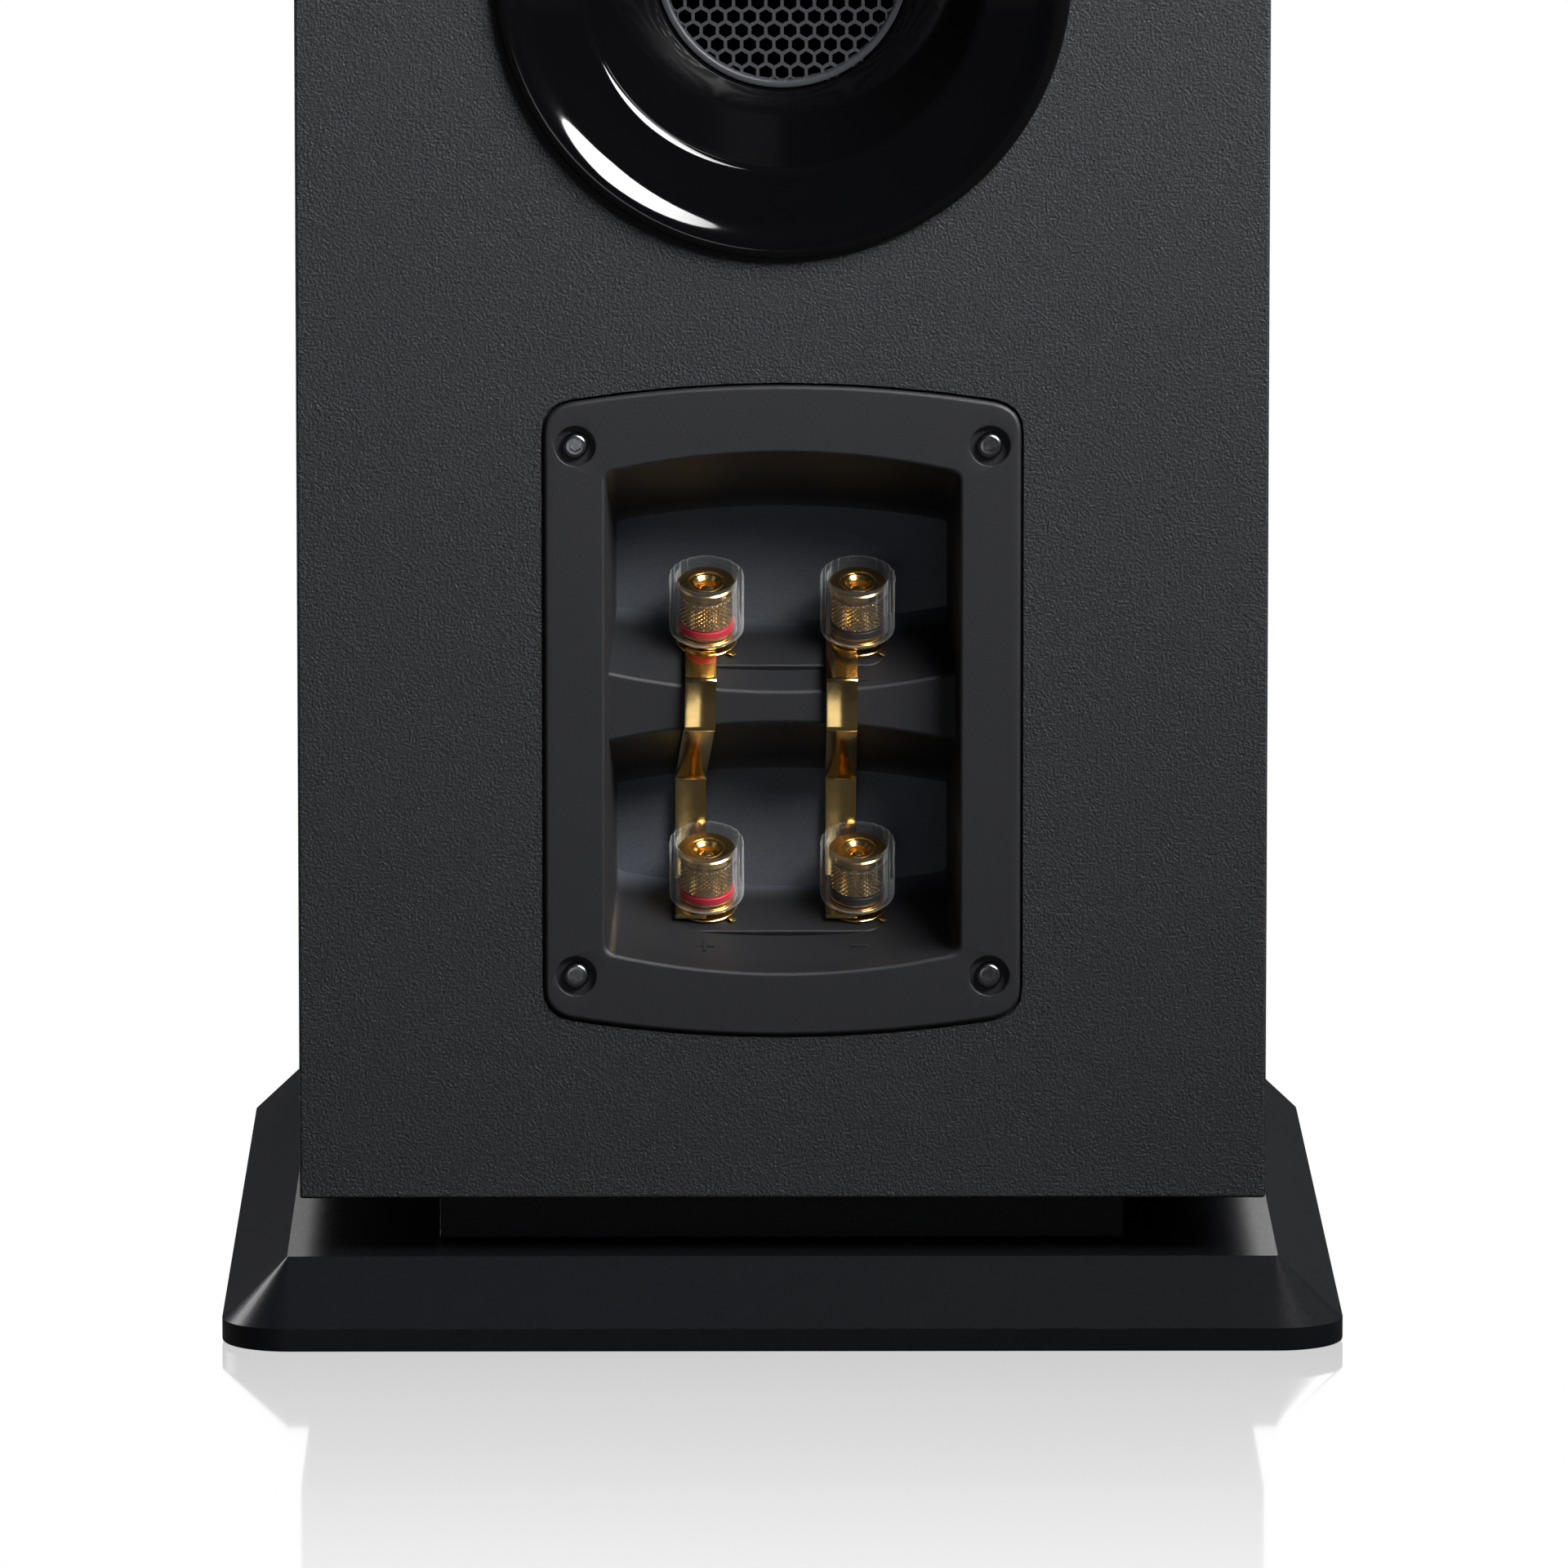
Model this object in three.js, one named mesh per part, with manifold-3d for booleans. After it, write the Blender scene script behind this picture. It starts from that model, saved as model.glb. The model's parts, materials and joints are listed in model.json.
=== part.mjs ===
// Floor-standing loudspeaker: a tall vinyl-wrapped cabinet on a bevelled plinth, with a rear
// reflex port, a moulded terminal cup that holds four binding posts, and a row of drivers in
// front. Units are millimetres. +Z is up, +Y is the rear of the speaker, and the origin is on
// the floor under the middle of the plinth.
import * as THREE from 'three';
import { mergeVertices } from 'three/addons/utils/BufferGeometryUtils.js';
import Module from 'manifold-3d';

const wasm = await Module();
wasm.setup();

// Driving dimensions
const gap = 0.3; // between pieces that touch
const cabinetWidth = 216;
const cabinetDepth = 270;
const cabinetHeight = 1040;
const board = 18; // cabinet board thickness

const footHeight = 1.5;
const footRadius = 16;
const footStandOut = 0.5; // how far a foot reaches below the plinth
const plinthOverhang = 17.5; // past each side of the cabinet
const plinthThickness = 19;
const plinthLand = 5.2; // upright edge below the bevel
const bevelRun = 14.6;
const plinthCornerRadius = 15.2;
const spacerHeight = 13.1; // between plinth and cabinet
const spacerSetback = 20; // from the cabinet's front and rear
const spacerSideInset = 31;

const portRise = 275.6; // port axis above the cabinet's underside
const portFlangeRadius = 64;
const portFlangeProud = 3.4;
const portCreaseRadius = 45;
const portThroatRadius = 28.6;
const portBowlDepth = 21;
const portWall = 2.6;
const portSpigotDepth = 46;
const portTubeLength = 96;
const portTubeWall = 2.4;
const screenThickness = 3;
const screenRim = 4;
const screenMesh = 0.9;

const cupRise = 110.2; // cup centre above the cabinet's underside
const flangeHalfWidth = 53;
const flangeHalfHeight = 73.1;
const flangeArc = 4.8; // how much the flange's ends bow outward
const flangeCorner = 6;
const flangeThickness = 3;
const flangeProud = 0.8;
const cupWall = 2;
const wellHalfWidth = 39.3;
const wellTop = 57.8;
const wellBottom = -58.8;
const wellArc = 4.6;
const wellDepth = 9.5; // down to the bar between the two recesses
const recessDepth = 35;
const recessHalfWidth = 37;
const recessPitch = 60.2; // upper to lower recess and post to post
const barTop = 3;
const barBottom = -4;
const ceilingBack = 41.5;
const floorBack = 15.3;
const lowerCeilingBack = -18;
const lowerFloorBack = -44.9;
const lowerFloorFront = -57.1;

const cupScrewX = 46.05;
const cupScrewZ = 59.6;
const screwHeadRadius = 3.6;
const screwHeadHeight = 1.6;
const screwRecess = 0.9; // how far the head's top lies below the flange face
const screwShankRadius = 1.7;
const screwLength = 14;
const hexKeyRadius = 1.5;

const postSpacing = 33.8;
const postLean = 65; // elevation of the post axis in degrees
const postBaseDepth = 25.2;
const postBaseHeight = 11.9; // pad surface above the cup centre, for the upper posts
const padBeyondPost = 6.1; // past the post axis on either side
const padProud = 1.6;
const padFront = 9.5; // pad length in front of the post axis, along the floor
const padBack = 7.5;
const studRadius = 2;
const studTail = 12; // behind the cup floor
const studReach = 13.2;
const collarRadius = 6.8;
const collarHeight = 0.8;
const strapThickness = 1;
const strapWidth = 7;
const strapOffset = 3.6; // beside the post axis
const strapJog = 2.3; // sideways step of the left strap
const washerRadius = 6.9;
const washerHeight = 1;
const coreRadius = 5.9;
const coreDiscRadius = 6.45;
const coreHeight = 12.4;
const coreBore = 2.5;
const ringRadius = 6.2;
const ringHeight = 1.8;
const sleeveRadius = 8.4;
const sleeveWall = 1.5;
const sleeveHeight = 14.2;

const woofer = {
  frame: 85, cutout: 74, lip: 4, roll: 5.2, cone: 56, coneDepth: 22, coil: 13,
  basketDepth: 62, magnet: 45, magnetHeight: 22, coneThickness: 1,
};
const midrange = {
  frame: 66, cutout: 56, lip: 4, roll: 4, cone: 42, coneDepth: 15, coil: 12.5,
  basketDepth: 46, magnet: 36, magnetHeight: 18, coneThickness: 0.9,
};
const tweeterRadius = 52;
const tweeterPlate = 4;
const domeRadius = 13.5;
const tweeterBody = 34;
const tweeterDepth = 24;
const topToTweeter = 82;
const tweeterToMidrange = 132;
const midrangeToWoofer = 166;
const wooferPitch = 182;

// Derived places
const plinthWidth = cabinetWidth + 2 * plinthOverhang;
const plinthLength = cabinetDepth + 2 * bevelRun;
const plinthTop = footStandOut + plinthThickness;
const cabinetBottom = plinthTop + spacerHeight;
const cabinetTop = cabinetBottom + cabinetHeight;
const rearFace = cabinetDepth / 2;
const frontFace = -cabinetDepth / 2;
const innerWidth = cabinetWidth - 2 * board;
const innerDepth = cabinetDepth - 2 * board;
const cupZ = cabinetBottom + cupRise;
const portZ = cabinetBottom + portRise;
const tweeterZ = cabinetTop - topToTweeter;
const midrangeZ = tweeterZ - tweeterToMidrange;
const upperWooferZ = midrangeZ - midrangeToWoofer;
const lowerWooferZ = upperWooferZ - wooferPitch;
const lean = THREE.MathUtils.degToRad(postLean);
const padHalfWidth = postSpacing / 2 + padBeyondPost;

const paint = {
  vinyl: { color: 0x2a2b2f, roughness: 0.6, metalness: 0 },
  fibreboard: { color: 0x8a6a48, roughness: 0.9, metalness: 0 },
  lacquer: { color: 0x17181b, roughness: 0.35, metalness: 0 },
  gloss: { color: 0x0b0b0d, roughness: 0.08, metalness: 0 },
  moulded: { color: 0x2c2d31, roughness: 0.55, metalness: 0 },
  rubber: { color: 0x121214, roughness: 0.8, metalness: 0 },
  screen: { color: 0x3a3b3e, roughness: 0.5, metalness: 0.3 },
  gold: { color: 0xd8ab4e, roughness: 0.2, metalness: 1 },
  clear: { color: 0xe8ecee, roughness: 0.05, metalness: 0 },
  red: { color: 0xb3122a, roughness: 0.4, metalness: 0 },
  black: { color: 0x16120f, roughness: 0.4, metalness: 0 },
  steel: { color: 0x2b2b2e, roughness: 0.35, metalness: 0.9 },
  cone: { color: 0x1d1e21, roughness: 0.7, metalness: 0 },
  magnet: { color: 0x3a3a3c, roughness: 0.6, metalness: 0.4 },
  circuit: { color: 0x1f4a2e, roughness: 0.6, metalness: 0 },
  wool: { color: 0xd9d7cf, roughness: 1, metalness: 0 },
};

const speaker = new THREE.Group();

function addMesh(parent, name, geometry, finish) {
  const mesh = new THREE.Mesh(geometry, new THREE.MeshStandardMaterial(paint[finish]));
  mesh.name = name;
  parent.add(mesh);
  return mesh;
}

function addGroup(x, y, z, turnX = 0) {
  const group = new THREE.Group();
  group.position.set(x, y, z);
  group.rotation.x = turnX;
  speaker.add(group);
  return group;
}

function box(x0, x1, y0, y1, z0, z1) {
  const geometry = new THREE.BoxGeometry(x1 - x0, y1 - y0, z1 - z0);
  return geometry.translate((x0 + x1) / 2, (y0 + y1) / 2, (z0 + z1) / 2);
}

// A profile of [radius, height] points, turned about the Y axis.
function turned(profile, segments = 24) {
  return new THREE.LatheGeometry(profile.map(([r, y]) => new THREE.Vector2(r, y)), segments);
}

// An outline in X and Z, extruded away from the rear face: from y = front to y = back.
function prism(shape, front, back, curveSegments = 4) {
  const settings = { depth: front - back, bevelEnabled: false, curveSegments };
  const geometry = new THREE.ExtrudeGeometry(shape, settings);
  return geometry.rotateX(Math.PI / 2).translate(0, front, 0);
}

// A round bar along Y, centred on x and z.
function bar(radius, y0, y1, x, z, segments = 24) {
  const geometry = new THREE.CylinderGeometry(radius, radius, y1 - y0, segments);
  return geometry.translate(x, (y0 + y1) / 2, z);
}

// Moves each vertex of a geometry to the place that a function gives for it.
function reshape(geometry, place) {
  const position = geometry.attributes.position;
  for (let i = 0; i < position.count; i += 1) {
    position.setXYZ(i, ...place(position.getX(i), position.getY(i), position.getZ(i)));
  }
  return geometry;
}

function toSolid(geometry) {
  const bare = geometry.clone();
  bare.deleteAttribute('normal');
  bare.deleteAttribute('uv');
  const merged = mergeVertices(bare, 1e-4);
  const vertProperties = new Float32Array(merged.attributes.position.array);
  const triVerts = new Uint32Array(merged.index.array);
  return new wasm.Manifold(new wasm.Mesh({ numProp: 3, vertProperties, triVerts }));
}

function toGeometry(solid) {
  const mesh = solid.getMesh();
  const geometry = new THREE.BufferGeometry();
  geometry.setAttribute('position', new THREE.BufferAttribute(mesh.vertProperties, 3));
  geometry.setIndex(new THREE.BufferAttribute(mesh.triVerts, 1));
  geometry.computeVertexNormals();
  return geometry;
}

// One geometry with others joined to it and then others cut from it.
function carve(base, cuts, joins = []) {
  let solid = toSolid(base);
  joins.forEach((geometry) => { solid = solid.add(toSolid(geometry)); });
  cuts.forEach((geometry) => { solid = solid.subtract(toSolid(geometry)); });
  return toGeometry(solid);
}

// Plinth: one board with an upright edge and a bevel up to the cabinet's footprint, on four
// round pads that sit in shallow pockets.
function roundedRectangle(width, length, radius) {
  const shape = new THREE.Shape();
  const x = width / 2 - radius;
  const y = length / 2 - radius;
  shape.absarc(x, -y, radius, -Math.PI / 2, 0);
  shape.absarc(x, y, radius, 0, Math.PI / 2);
  shape.absarc(-x, y, radius, Math.PI / 2, Math.PI);
  shape.absarc(-x, -y, radius, Math.PI, 1.5 * Math.PI);
  return shape;
}

function addPlinth() {
  const outline = roundedRectangle(plinthWidth, plinthLength, plinthCornerRadius);
  const settings = { depth: 2, steps: 2, bevelEnabled: false, curveSegments: 6 };
  const levels = [footStandOut, footStandOut + plinthLand, plinthTop];
  const cornerX = plinthWidth / 2 - plinthCornerRadius;
  const cornerY = plinthLength / 2 - plinthCornerRadius;
  const shrink = (plinthCornerRadius - bevelRun) / plinthCornerRadius;
  const pullIn = (value, corner) => {
    const inside = THREE.MathUtils.clamp(value, -corner, corner);
    return inside + (value - inside) * shrink;
  };
  const board3d = reshape(new THREE.ExtrudeGeometry(outline, settings), (x, y, level) => {
    const step = Math.round(level);
    if (step < 2) return [x, y, levels[step]];
    return [pullIn(x, cornerX), pullIn(y, cornerY), levels[step]];
  });
  const footX = plinthWidth / 2 - plinthCornerRadius - footRadius;
  const footY = plinthLength / 2 - plinthCornerRadius - footRadius;
  const pockets = [];
  const feet = [
    ['foot_rear_left', footX, footY], ['foot_rear_right', -footX, footY],
    ['foot_front_left', footX, -footY], ['foot_front_right', -footX, -footY],
  ];
  feet.forEach(([name, x, y]) => {
    const pad = new THREE.CylinderGeometry(footRadius, footRadius, footHeight, 24);
    pad.rotateX(Math.PI / 2).translate(x, y, footHeight / 2);
    addMesh(speaker, name, pad, 'rubber');
    const pocket = new THREE.CylinderGeometry(footRadius + gap, footRadius + gap, footHeight + gap, 24);
    pockets.push(pocket.rotateX(Math.PI / 2).translate(x, y, (footHeight + gap) / 2));
  });
  addMesh(speaker, 'plinth', carve(board3d, pockets), 'lacquer');
  const spacerX = cabinetWidth / 2 - spacerSideInset;
  const spacerY = cabinetDepth / 2 - spacerSetback;
  const spacer = box(-spacerX, spacerX, -spacerY, spacerY, plinthTop + gap, cabinetBottom - gap);
  addMesh(speaker, 'plinth_spacer', spacer, 'vinyl');
}

// Cabinet boards. The baffle and the rear panel cover the edges of the other four.
function addCabinet() {
  const x = cabinetWidth / 2;
  const y = innerDepth / 2 - gap;
  [['left', 1], ['right', -1]].forEach(([side, sign]) => {
    const edges = [sign * x, sign * (x - board)].sort((a, b) => a - b);
    const panel = box(edges[0], edges[1], -y, y, cabinetBottom, cabinetTop);
    addMesh(speaker, `side_panel_${side}`, panel, 'vinyl');
  });
  const inner = innerWidth / 2 - gap;
  addMesh(speaker, 'bottom_panel', box(-inner, inner, -y, y, cabinetBottom, cabinetBottom + board), 'vinyl');
  addMesh(speaker, 'top_panel', box(-inner, inner, -y, y, cabinetTop - board, cabinetTop), 'vinyl');
  const braceZ = (midrangeZ + upperWooferZ) / 2;
  const window = box(-inner + 2 * board, inner - 2 * board, -y + 2 * board, y - 2 * board,
    braceZ - board, braceZ + board);
  const brace = box(-inner, inner, -y, y, braceZ - board / 2, braceZ + board / 2);
  addMesh(speaker, 'inner_brace', carve(brace, [window]), 'fibreboard');
}

function addFrontBaffle() {
  const x = cabinetWidth / 2;
  const baffle = box(-x, x, frontFace, frontFace + board, cabinetBottom, cabinetTop);
  const cutouts = [
    [tweeterBody + 2 * gap, tweeterZ], [midrange.cutout, midrangeZ],
    [woofer.cutout, upperWooferZ], [woofer.cutout, lowerWooferZ],
  ];
  const holes = cutouts.map(([radius, z]) => bar(radius, frontFace - 1, frontFace + board + 1, 0, z, 32));
  addMesh(speaker, 'front_baffle', carve(baffle, holes), 'vinyl');
}

// Outline with straight sides and bowed ends, as the height of either end at a share u of the
// half width.
function endHeight(section, end, u) {
  const arc = section.arc * (1 - u * u) - section.arc;
  return end === 'top' ? section.top + arc : section.bottom - arc;
}

function barrelShape(section, steps = 8) {
  const shape = new THREE.Shape();
  for (let i = 0; i <= steps; i += 1) {
    const u = -1 + (2 * i) / steps;
    const point = [u * section.halfWidth, endHeight(section, 'bottom', u)];
    if (i === 0) shape.moveTo(...point);
    else shape.lineTo(...point);
  }
  for (let i = steps; i >= 0; i -= 1) {
    const u = -1 + (2 * i) / steps;
    shape.lineTo(u * section.halfWidth, endHeight(section, 'top', u));
  }
  return shape;
}

// A solid that runs from one barrel outline to another, deeper one.
function barrelLoft(near, far) {
  const settings = { depth: 1, bevelEnabled: false };
  const geometry = new THREE.ExtrudeGeometry(barrelShape(near), settings);
  return reshape(geometry, (x, z, t) => {
    const u = x / near.halfWidth;
    const low = endHeight(near, 'bottom', u);
    const v = (z - low) / (endHeight(near, 'top', u) - low);
    const mix = (key) => near[key] + (far[key] - near[key]) * t;
    const here = { arc: mix('arc'), top: mix('top'), bottom: mix('bottom') };
    const floor = endHeight(here, 'bottom', u);
    const ceiling = endHeight(here, 'top', u);
    return [u * mix('halfWidth'), -mix('depth'), floor + v * (ceiling - floor)];
  });
}

function grown(section, amount, extraDepth = 0) {
  return {
    ...section,
    halfWidth: section.halfWidth + amount,
    top: section.top + amount,
    bottom: section.bottom - amount,
    depth: section.depth + extraDepth,
  };
}

// The flange's outline, with rounded corners between its straight sides and its bowed ends.
function flangeShape(grow) {
  const halfWidth = flangeHalfWidth + grow;
  const top = flangeHalfHeight + grow;
  const section = { halfWidth, top, bottom: -top, arc: flangeArc };
  const corner = flangeCorner + grow;
  const cornerU = 1 - corner / halfWidth;
  const cornerZ = endHeight(section, 'top', 1);
  const steps = 8;
  const shape = new THREE.Shape();
  shape.moveTo(halfWidth, -cornerZ + corner);
  shape.lineTo(halfWidth, cornerZ - corner);
  [1, -1].forEach((end) => {
    const first = end * cornerU;
    shape.quadraticCurveTo(end * halfWidth, end * cornerZ,
      first * halfWidth, end * endHeight(section, 'top', cornerU));
    for (let i = 1; i <= steps; i += 1) {
      const u = first - (2 * first * i) / steps;
      shape.lineTo(u * halfWidth, end * endHeight(section, 'top', u));
    }
    shape.quadraticCurveTo(-end * halfWidth, end * cornerZ,
      -end * halfWidth, end * (cornerZ - corner));
    if (end === 1) shape.lineTo(-halfWidth, -cornerZ + corner);
  });
  return shape;
}

// Terminal cup sections: the shared well, then an upper and a lower recess behind it.
const slopeTo = (from, to, share) => from + (to - from) * share;
const wellShare = wellDepth / recessDepth;
const wellMouth = { halfWidth: wellHalfWidth, top: wellTop, bottom: wellBottom, arc: wellArc, depth: 0 };
const wellEnd = {
  halfWidth: slopeTo(wellHalfWidth, recessHalfWidth, wellShare),
  top: slopeTo(wellTop, ceilingBack, wellShare),
  bottom: lowerFloorFront,
  arc: wellArc,
  depth: wellDepth,
};
const upperNear = { ...wellEnd, bottom: barTop, arc: 4.2 };
const upperFar = { halfWidth: recessHalfWidth, top: ceilingBack, bottom: floorBack, arc: 3.4, depth: recessDepth };
const lowerNear = { ...wellEnd, top: barBottom, arc: 4.2 };
const lowerFar = { ...upperFar, top: lowerCeilingBack, bottom: lowerFloorBack };

// A point beside a post: across, along the axis above the pad, and forward along the pad.
function postPoint(row, along, forward = 0) {
  const z = postBaseHeight - row * recessPitch;
  return [
    -postBaseDepth + along * Math.cos(lean) + forward * Math.sin(lean),
    z + along * Math.sin(lean) - forward * Math.cos(lean),
  ];
}

// A slab as wide as the pad that the posts stand on, between two heights above the pad.
function padSlab(row, from, to, grow = 0) {
  const corners = [
    postPoint(row, to, padFront + grow), postPoint(row, to, -padBack),
    postPoint(row, from, -padBack), postPoint(row, from, padFront + grow),
  ];
  const shape = new THREE.Shape(corners.map(([y, z]) => new THREE.Vector2(y, z)));
  return sidewaysPrism(shape, -padHalfWidth - grow, padHalfWidth + grow);
}

// An outline in Y and Z, extruded along X from x0 to x1.
function sidewaysPrism(shape, x0, x1, curveSegments = 6) {
  const settings = { depth: x1 - x0, bevelEnabled: false, curveSegments };
  const geometry = new THREE.ExtrudeGeometry(shape, settings);
  return reshape(geometry, (y, z, x) => [x0 + x, y, z]);
}

function postBar(radius, row, x, from, to, segments = 12) {
  const geometry = new THREE.CylinderGeometry(radius, radius, to - from, segments);
  geometry.translate(0, (from + to) / 2, 0).rotateX(lean);
  const [y, z] = postPoint(row, 0);
  return geometry.translate(x, y, z);
}

const postRows = [['upper', 0], ['lower', 1]];
const postColumns = [['left', postSpacing / 2], ['right', -postSpacing / 2]];
const screwPlaces = [
  ['cup_screw_upper_left', cupScrewX, cupScrewZ], ['cup_screw_upper_right', -cupScrewX, cupScrewZ],
  ['cup_screw_lower_left', cupScrewX, -cupScrewZ], ['cup_screw_lower_right', -cupScrewX, -cupScrewZ],
];

function addTerminalCup() {
  const cup = addGroup(0, rearFace, cupZ);
  const flange = prism(flangeShape(0), flangeProud, flangeProud - flangeThickness);
  const under = flangeThickness - flangeProud - 1;
  const shell = [
    barrelLoft({ ...grown(wellMouth, cupWall), depth: under }, grown(wellEnd, cupWall, cupWall)),
    barrelLoft(grown(upperNear, cupWall), grown(upperFar, cupWall, cupWall)),
    barrelLoft(grown(lowerNear, cupWall), grown(lowerFar, cupWall, cupWall)),
  ];
  const overlap = 0.05;
  const hollows = [
    barrelLoft({ ...grown(wellMouth, 0.6), depth: -flangeProud - 1 }, wellEnd),
    barrelLoft({ ...upperNear, depth: wellDepth - overlap }, upperFar),
    barrelLoft({ ...lowerNear, depth: wellDepth - overlap }, lowerFar),
  ];
  const screwBores = screwPlaces.flatMap(([, x, z]) => [
    bar(screwHeadRadius + 2 * gap, flangeProud - screwRecess - screwHeadHeight - gap, flangeProud + 1, x, z, 16),
    bar(screwShankRadius + gap, flangeProud - flangeThickness - 1, flangeProud + 1, x, z, 12),
  ]);
  const studBores = postRows.flatMap(([, row]) => postColumns.map(([, x]) => (
    postBar(studRadius + gap, row, x, -studTail, 1)
  )));
  let solid = toSolid(flange);
  shell.forEach((geometry) => { solid = solid.add(toSolid(geometry)); });
  hollows.forEach((geometry) => { solid = solid.subtract(toSolid(geometry)); });
  postRows.forEach(([, row]) => {
    solid = solid.subtract(toSolid(padSlab(row, 0, padProud * 3, 1)));
    solid = solid.add(toSolid(padSlab(row, -padProud * 2, 0)));
  });
  [...screwBores, ...studBores].forEach((geometry) => { solid = solid.subtract(toSolid(geometry)); });
  addMesh(cup, 'terminal_cup', toGeometry(solid), 'moulded');
  screwPlaces.forEach(([name, x, z]) => addMesh(cup, name, cupScrew(x, z), 'steel'));
  return cup;
}

function cupScrew(x, z) {
  const headTop = flangeProud - screwRecess;
  const headBottom = headTop - screwHeadHeight;
  const profile = [
    [0, headTop - screwLength], [screwShankRadius * 0.4, headTop - screwLength],
    [screwShankRadius, headTop - screwLength + 2], [screwShankRadius, headBottom],
    [screwHeadRadius, headBottom], [screwHeadRadius, headTop - 0.5], [screwHeadRadius - 0.6, headTop],
    [0, headTop],
  ];
  const key = bar(hexKeyRadius, headTop - 1.1, headTop + 1, 0, 0, 6);
  return carve(turned(profile, 12), [key]).translate(x, 0, z);
}

function addRearPanel() {
  const x = cabinetWidth / 2;
  const panel = box(-x, x, rearFace - board, rearFace, cabinetBottom, cabinetTop);
  const throughCup = grown(wellMouth, cupWall + 2 * gap);
  const cuts = [
    prism(flangeShape(2 * gap), 1, flangeProud - flangeThickness - gap).translate(0, rearFace, cupZ),
    prism(barrelShape(throughCup), 1, -board - 1).translate(0, rearFace, cupZ),
    bar(portFlangeRadius - 11, rearFace - board - 1, rearFace + 1, 0, portZ, 48),
  ];
  screwPlaces.forEach(([, screwX, screwZ]) => {
    cuts.push(bar(screwShankRadius + gap, rearFace - board + 2, rearFace + 1, screwX, cupZ + screwZ, 12));
  });
  addMesh(speaker, 'rear_panel', carve(panel, cuts), 'vinyl');
}

// Reflex port: a glossy trumpet with a domed flange, a tube behind it and a round screen.
function addPort() {
  const port = addGroup(0, rearFace, portZ);
  const inside = new THREE.Path();
  inside.moveTo(portFlangeRadius, gap);
  inside.lineTo(portFlangeRadius, 1.4);
  inside.bezierCurveTo(portFlangeRadius, 2.6, portFlangeRadius - 1.2, portFlangeProud,
    portFlangeRadius - 3, portFlangeProud);
  inside.bezierCurveTo(portFlangeRadius - 9, portFlangeProud, portCreaseRadius + 4.5, 0.4,
    portCreaseRadius, -4.2);
  inside.bezierCurveTo(portCreaseRadius - 6, -8.5, portThroatRadius + 4, -14,
    portThroatRadius, -portBowlDepth);
  inside.lineTo(portThroatRadius, -portSpigotDepth);
  const spigot = portThroatRadius + portWall;
  inside.lineTo(spigot, -portSpigotDepth);
  inside.lineTo(spigot, -portBowlDepth - 2);
  inside.bezierCurveTo(spigot + 3, -15, portCreaseRadius + 2, -9, portCreaseRadius + portWall, -5);
  inside.lineTo(portFlangeRadius - 12, -1.2);
  inside.lineTo(portFlangeRadius - 12, gap);
  inside.lineTo(portFlangeRadius, gap);
  const profile = inside.getPoints(4).map((point) => [point.x, point.y]);
  addMesh(port, 'port_flare', turned(profile, 36), 'gloss');

  const tubeTop = -portBowlDepth - 6;
  const tubeInner = spigot + gap;
  const tubeOuter = tubeInner + portTubeWall;
  addMesh(port, 'port_tube', turned([
    [tubeInner, tubeTop], [tubeInner, tubeTop - portTubeLength], [tubeOuter, tubeTop - portTubeLength],
    [tubeOuter, tubeTop], [tubeInner, tubeTop],
  ], 24), 'gloss');

  const rim = portThroatRadius - gap;
  const front = -portBowlDepth - 0.5;
  addMesh(port, 'port_screen', turned([
    [0, front - screenThickness + screenMesh], [rim - screenRim, front - screenThickness + screenMesh],
    [rim - screenRim + 0.5, front], [rim, front], [rim, front - screenThickness],
    [0, front - screenThickness],
  ].reverse(), 24), 'screen');
}

// Binding posts, each in a frame of its own whose Y axis is the post's axis and whose origin
// is on the pad.
function lathePieces() {
  const strapTop = collarHeight + gap + strapThickness;
  const washerBottom = strapTop + gap;
  const washerTop = washerBottom + washerHeight;
  const knobBottom = washerTop + gap;
  const knobTop = knobBottom + coreHeight;
  const neck = coreRadius - 1;
  const neckBottom = knobTop - 3;
  const neckTop = knobTop - 1.8;
  const seat = ringRadius - 0.9;
  const ringBottom = knobBottom + 0.7;
  const ringTop = ringBottom + ringHeight;
  const sleeveInner = sleeveRadius - sleeveWall;
  const sleeveTop = knobBottom + sleeveHeight;
  return {
    studs: [
      [0, -studTail], [studRadius, -studTail], [studRadius, gap], [collarRadius, gap],
      [collarRadius, collarHeight], [studRadius, collarHeight], [studRadius, studReach],
      [studRadius * 0.7, studReach + 1.2], [0, studReach + 1.7],
    ],
    washer: [
      [studRadius + gap, washerBottom], [washerRadius, washerBottom], [washerRadius, washerTop],
      [studRadius + gap, washerTop], [studRadius + gap, washerBottom],
    ],
    core: [
      [coreBore, knobBottom], [coreRadius, knobBottom], [coreRadius, ringBottom - gap],
      [seat, ringBottom - gap], [seat, ringTop + gap], [coreRadius, ringTop + gap],
      [coreRadius, neckBottom], [neck, neckBottom], [neck, neckTop], [coreDiscRadius, neckTop],
      [coreDiscRadius, knobTop], [coreBore, knobTop], [coreBore, knobBottom],
    ],
    ring: [
      [seat + gap, ringBottom], [ringRadius, ringBottom], [ringRadius, ringTop],
      [seat + gap, ringTop], [seat + gap, ringBottom],
    ],
    sleeve: [
      [sleeveInner, knobBottom], [sleeveRadius - 0.4, knobBottom], [sleeveRadius, knobBottom + 0.5],
      [sleeveRadius, sleeveTop], [sleeveInner, sleeveTop], [sleeveInner, neckTop - gap],
      [neck + gap, neckTop - gap], [neck + gap, neckBottom + gap], [sleeveInner, neckBottom + gap],
      [sleeveInner, knobBottom],
    ],
  };
}

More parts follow.
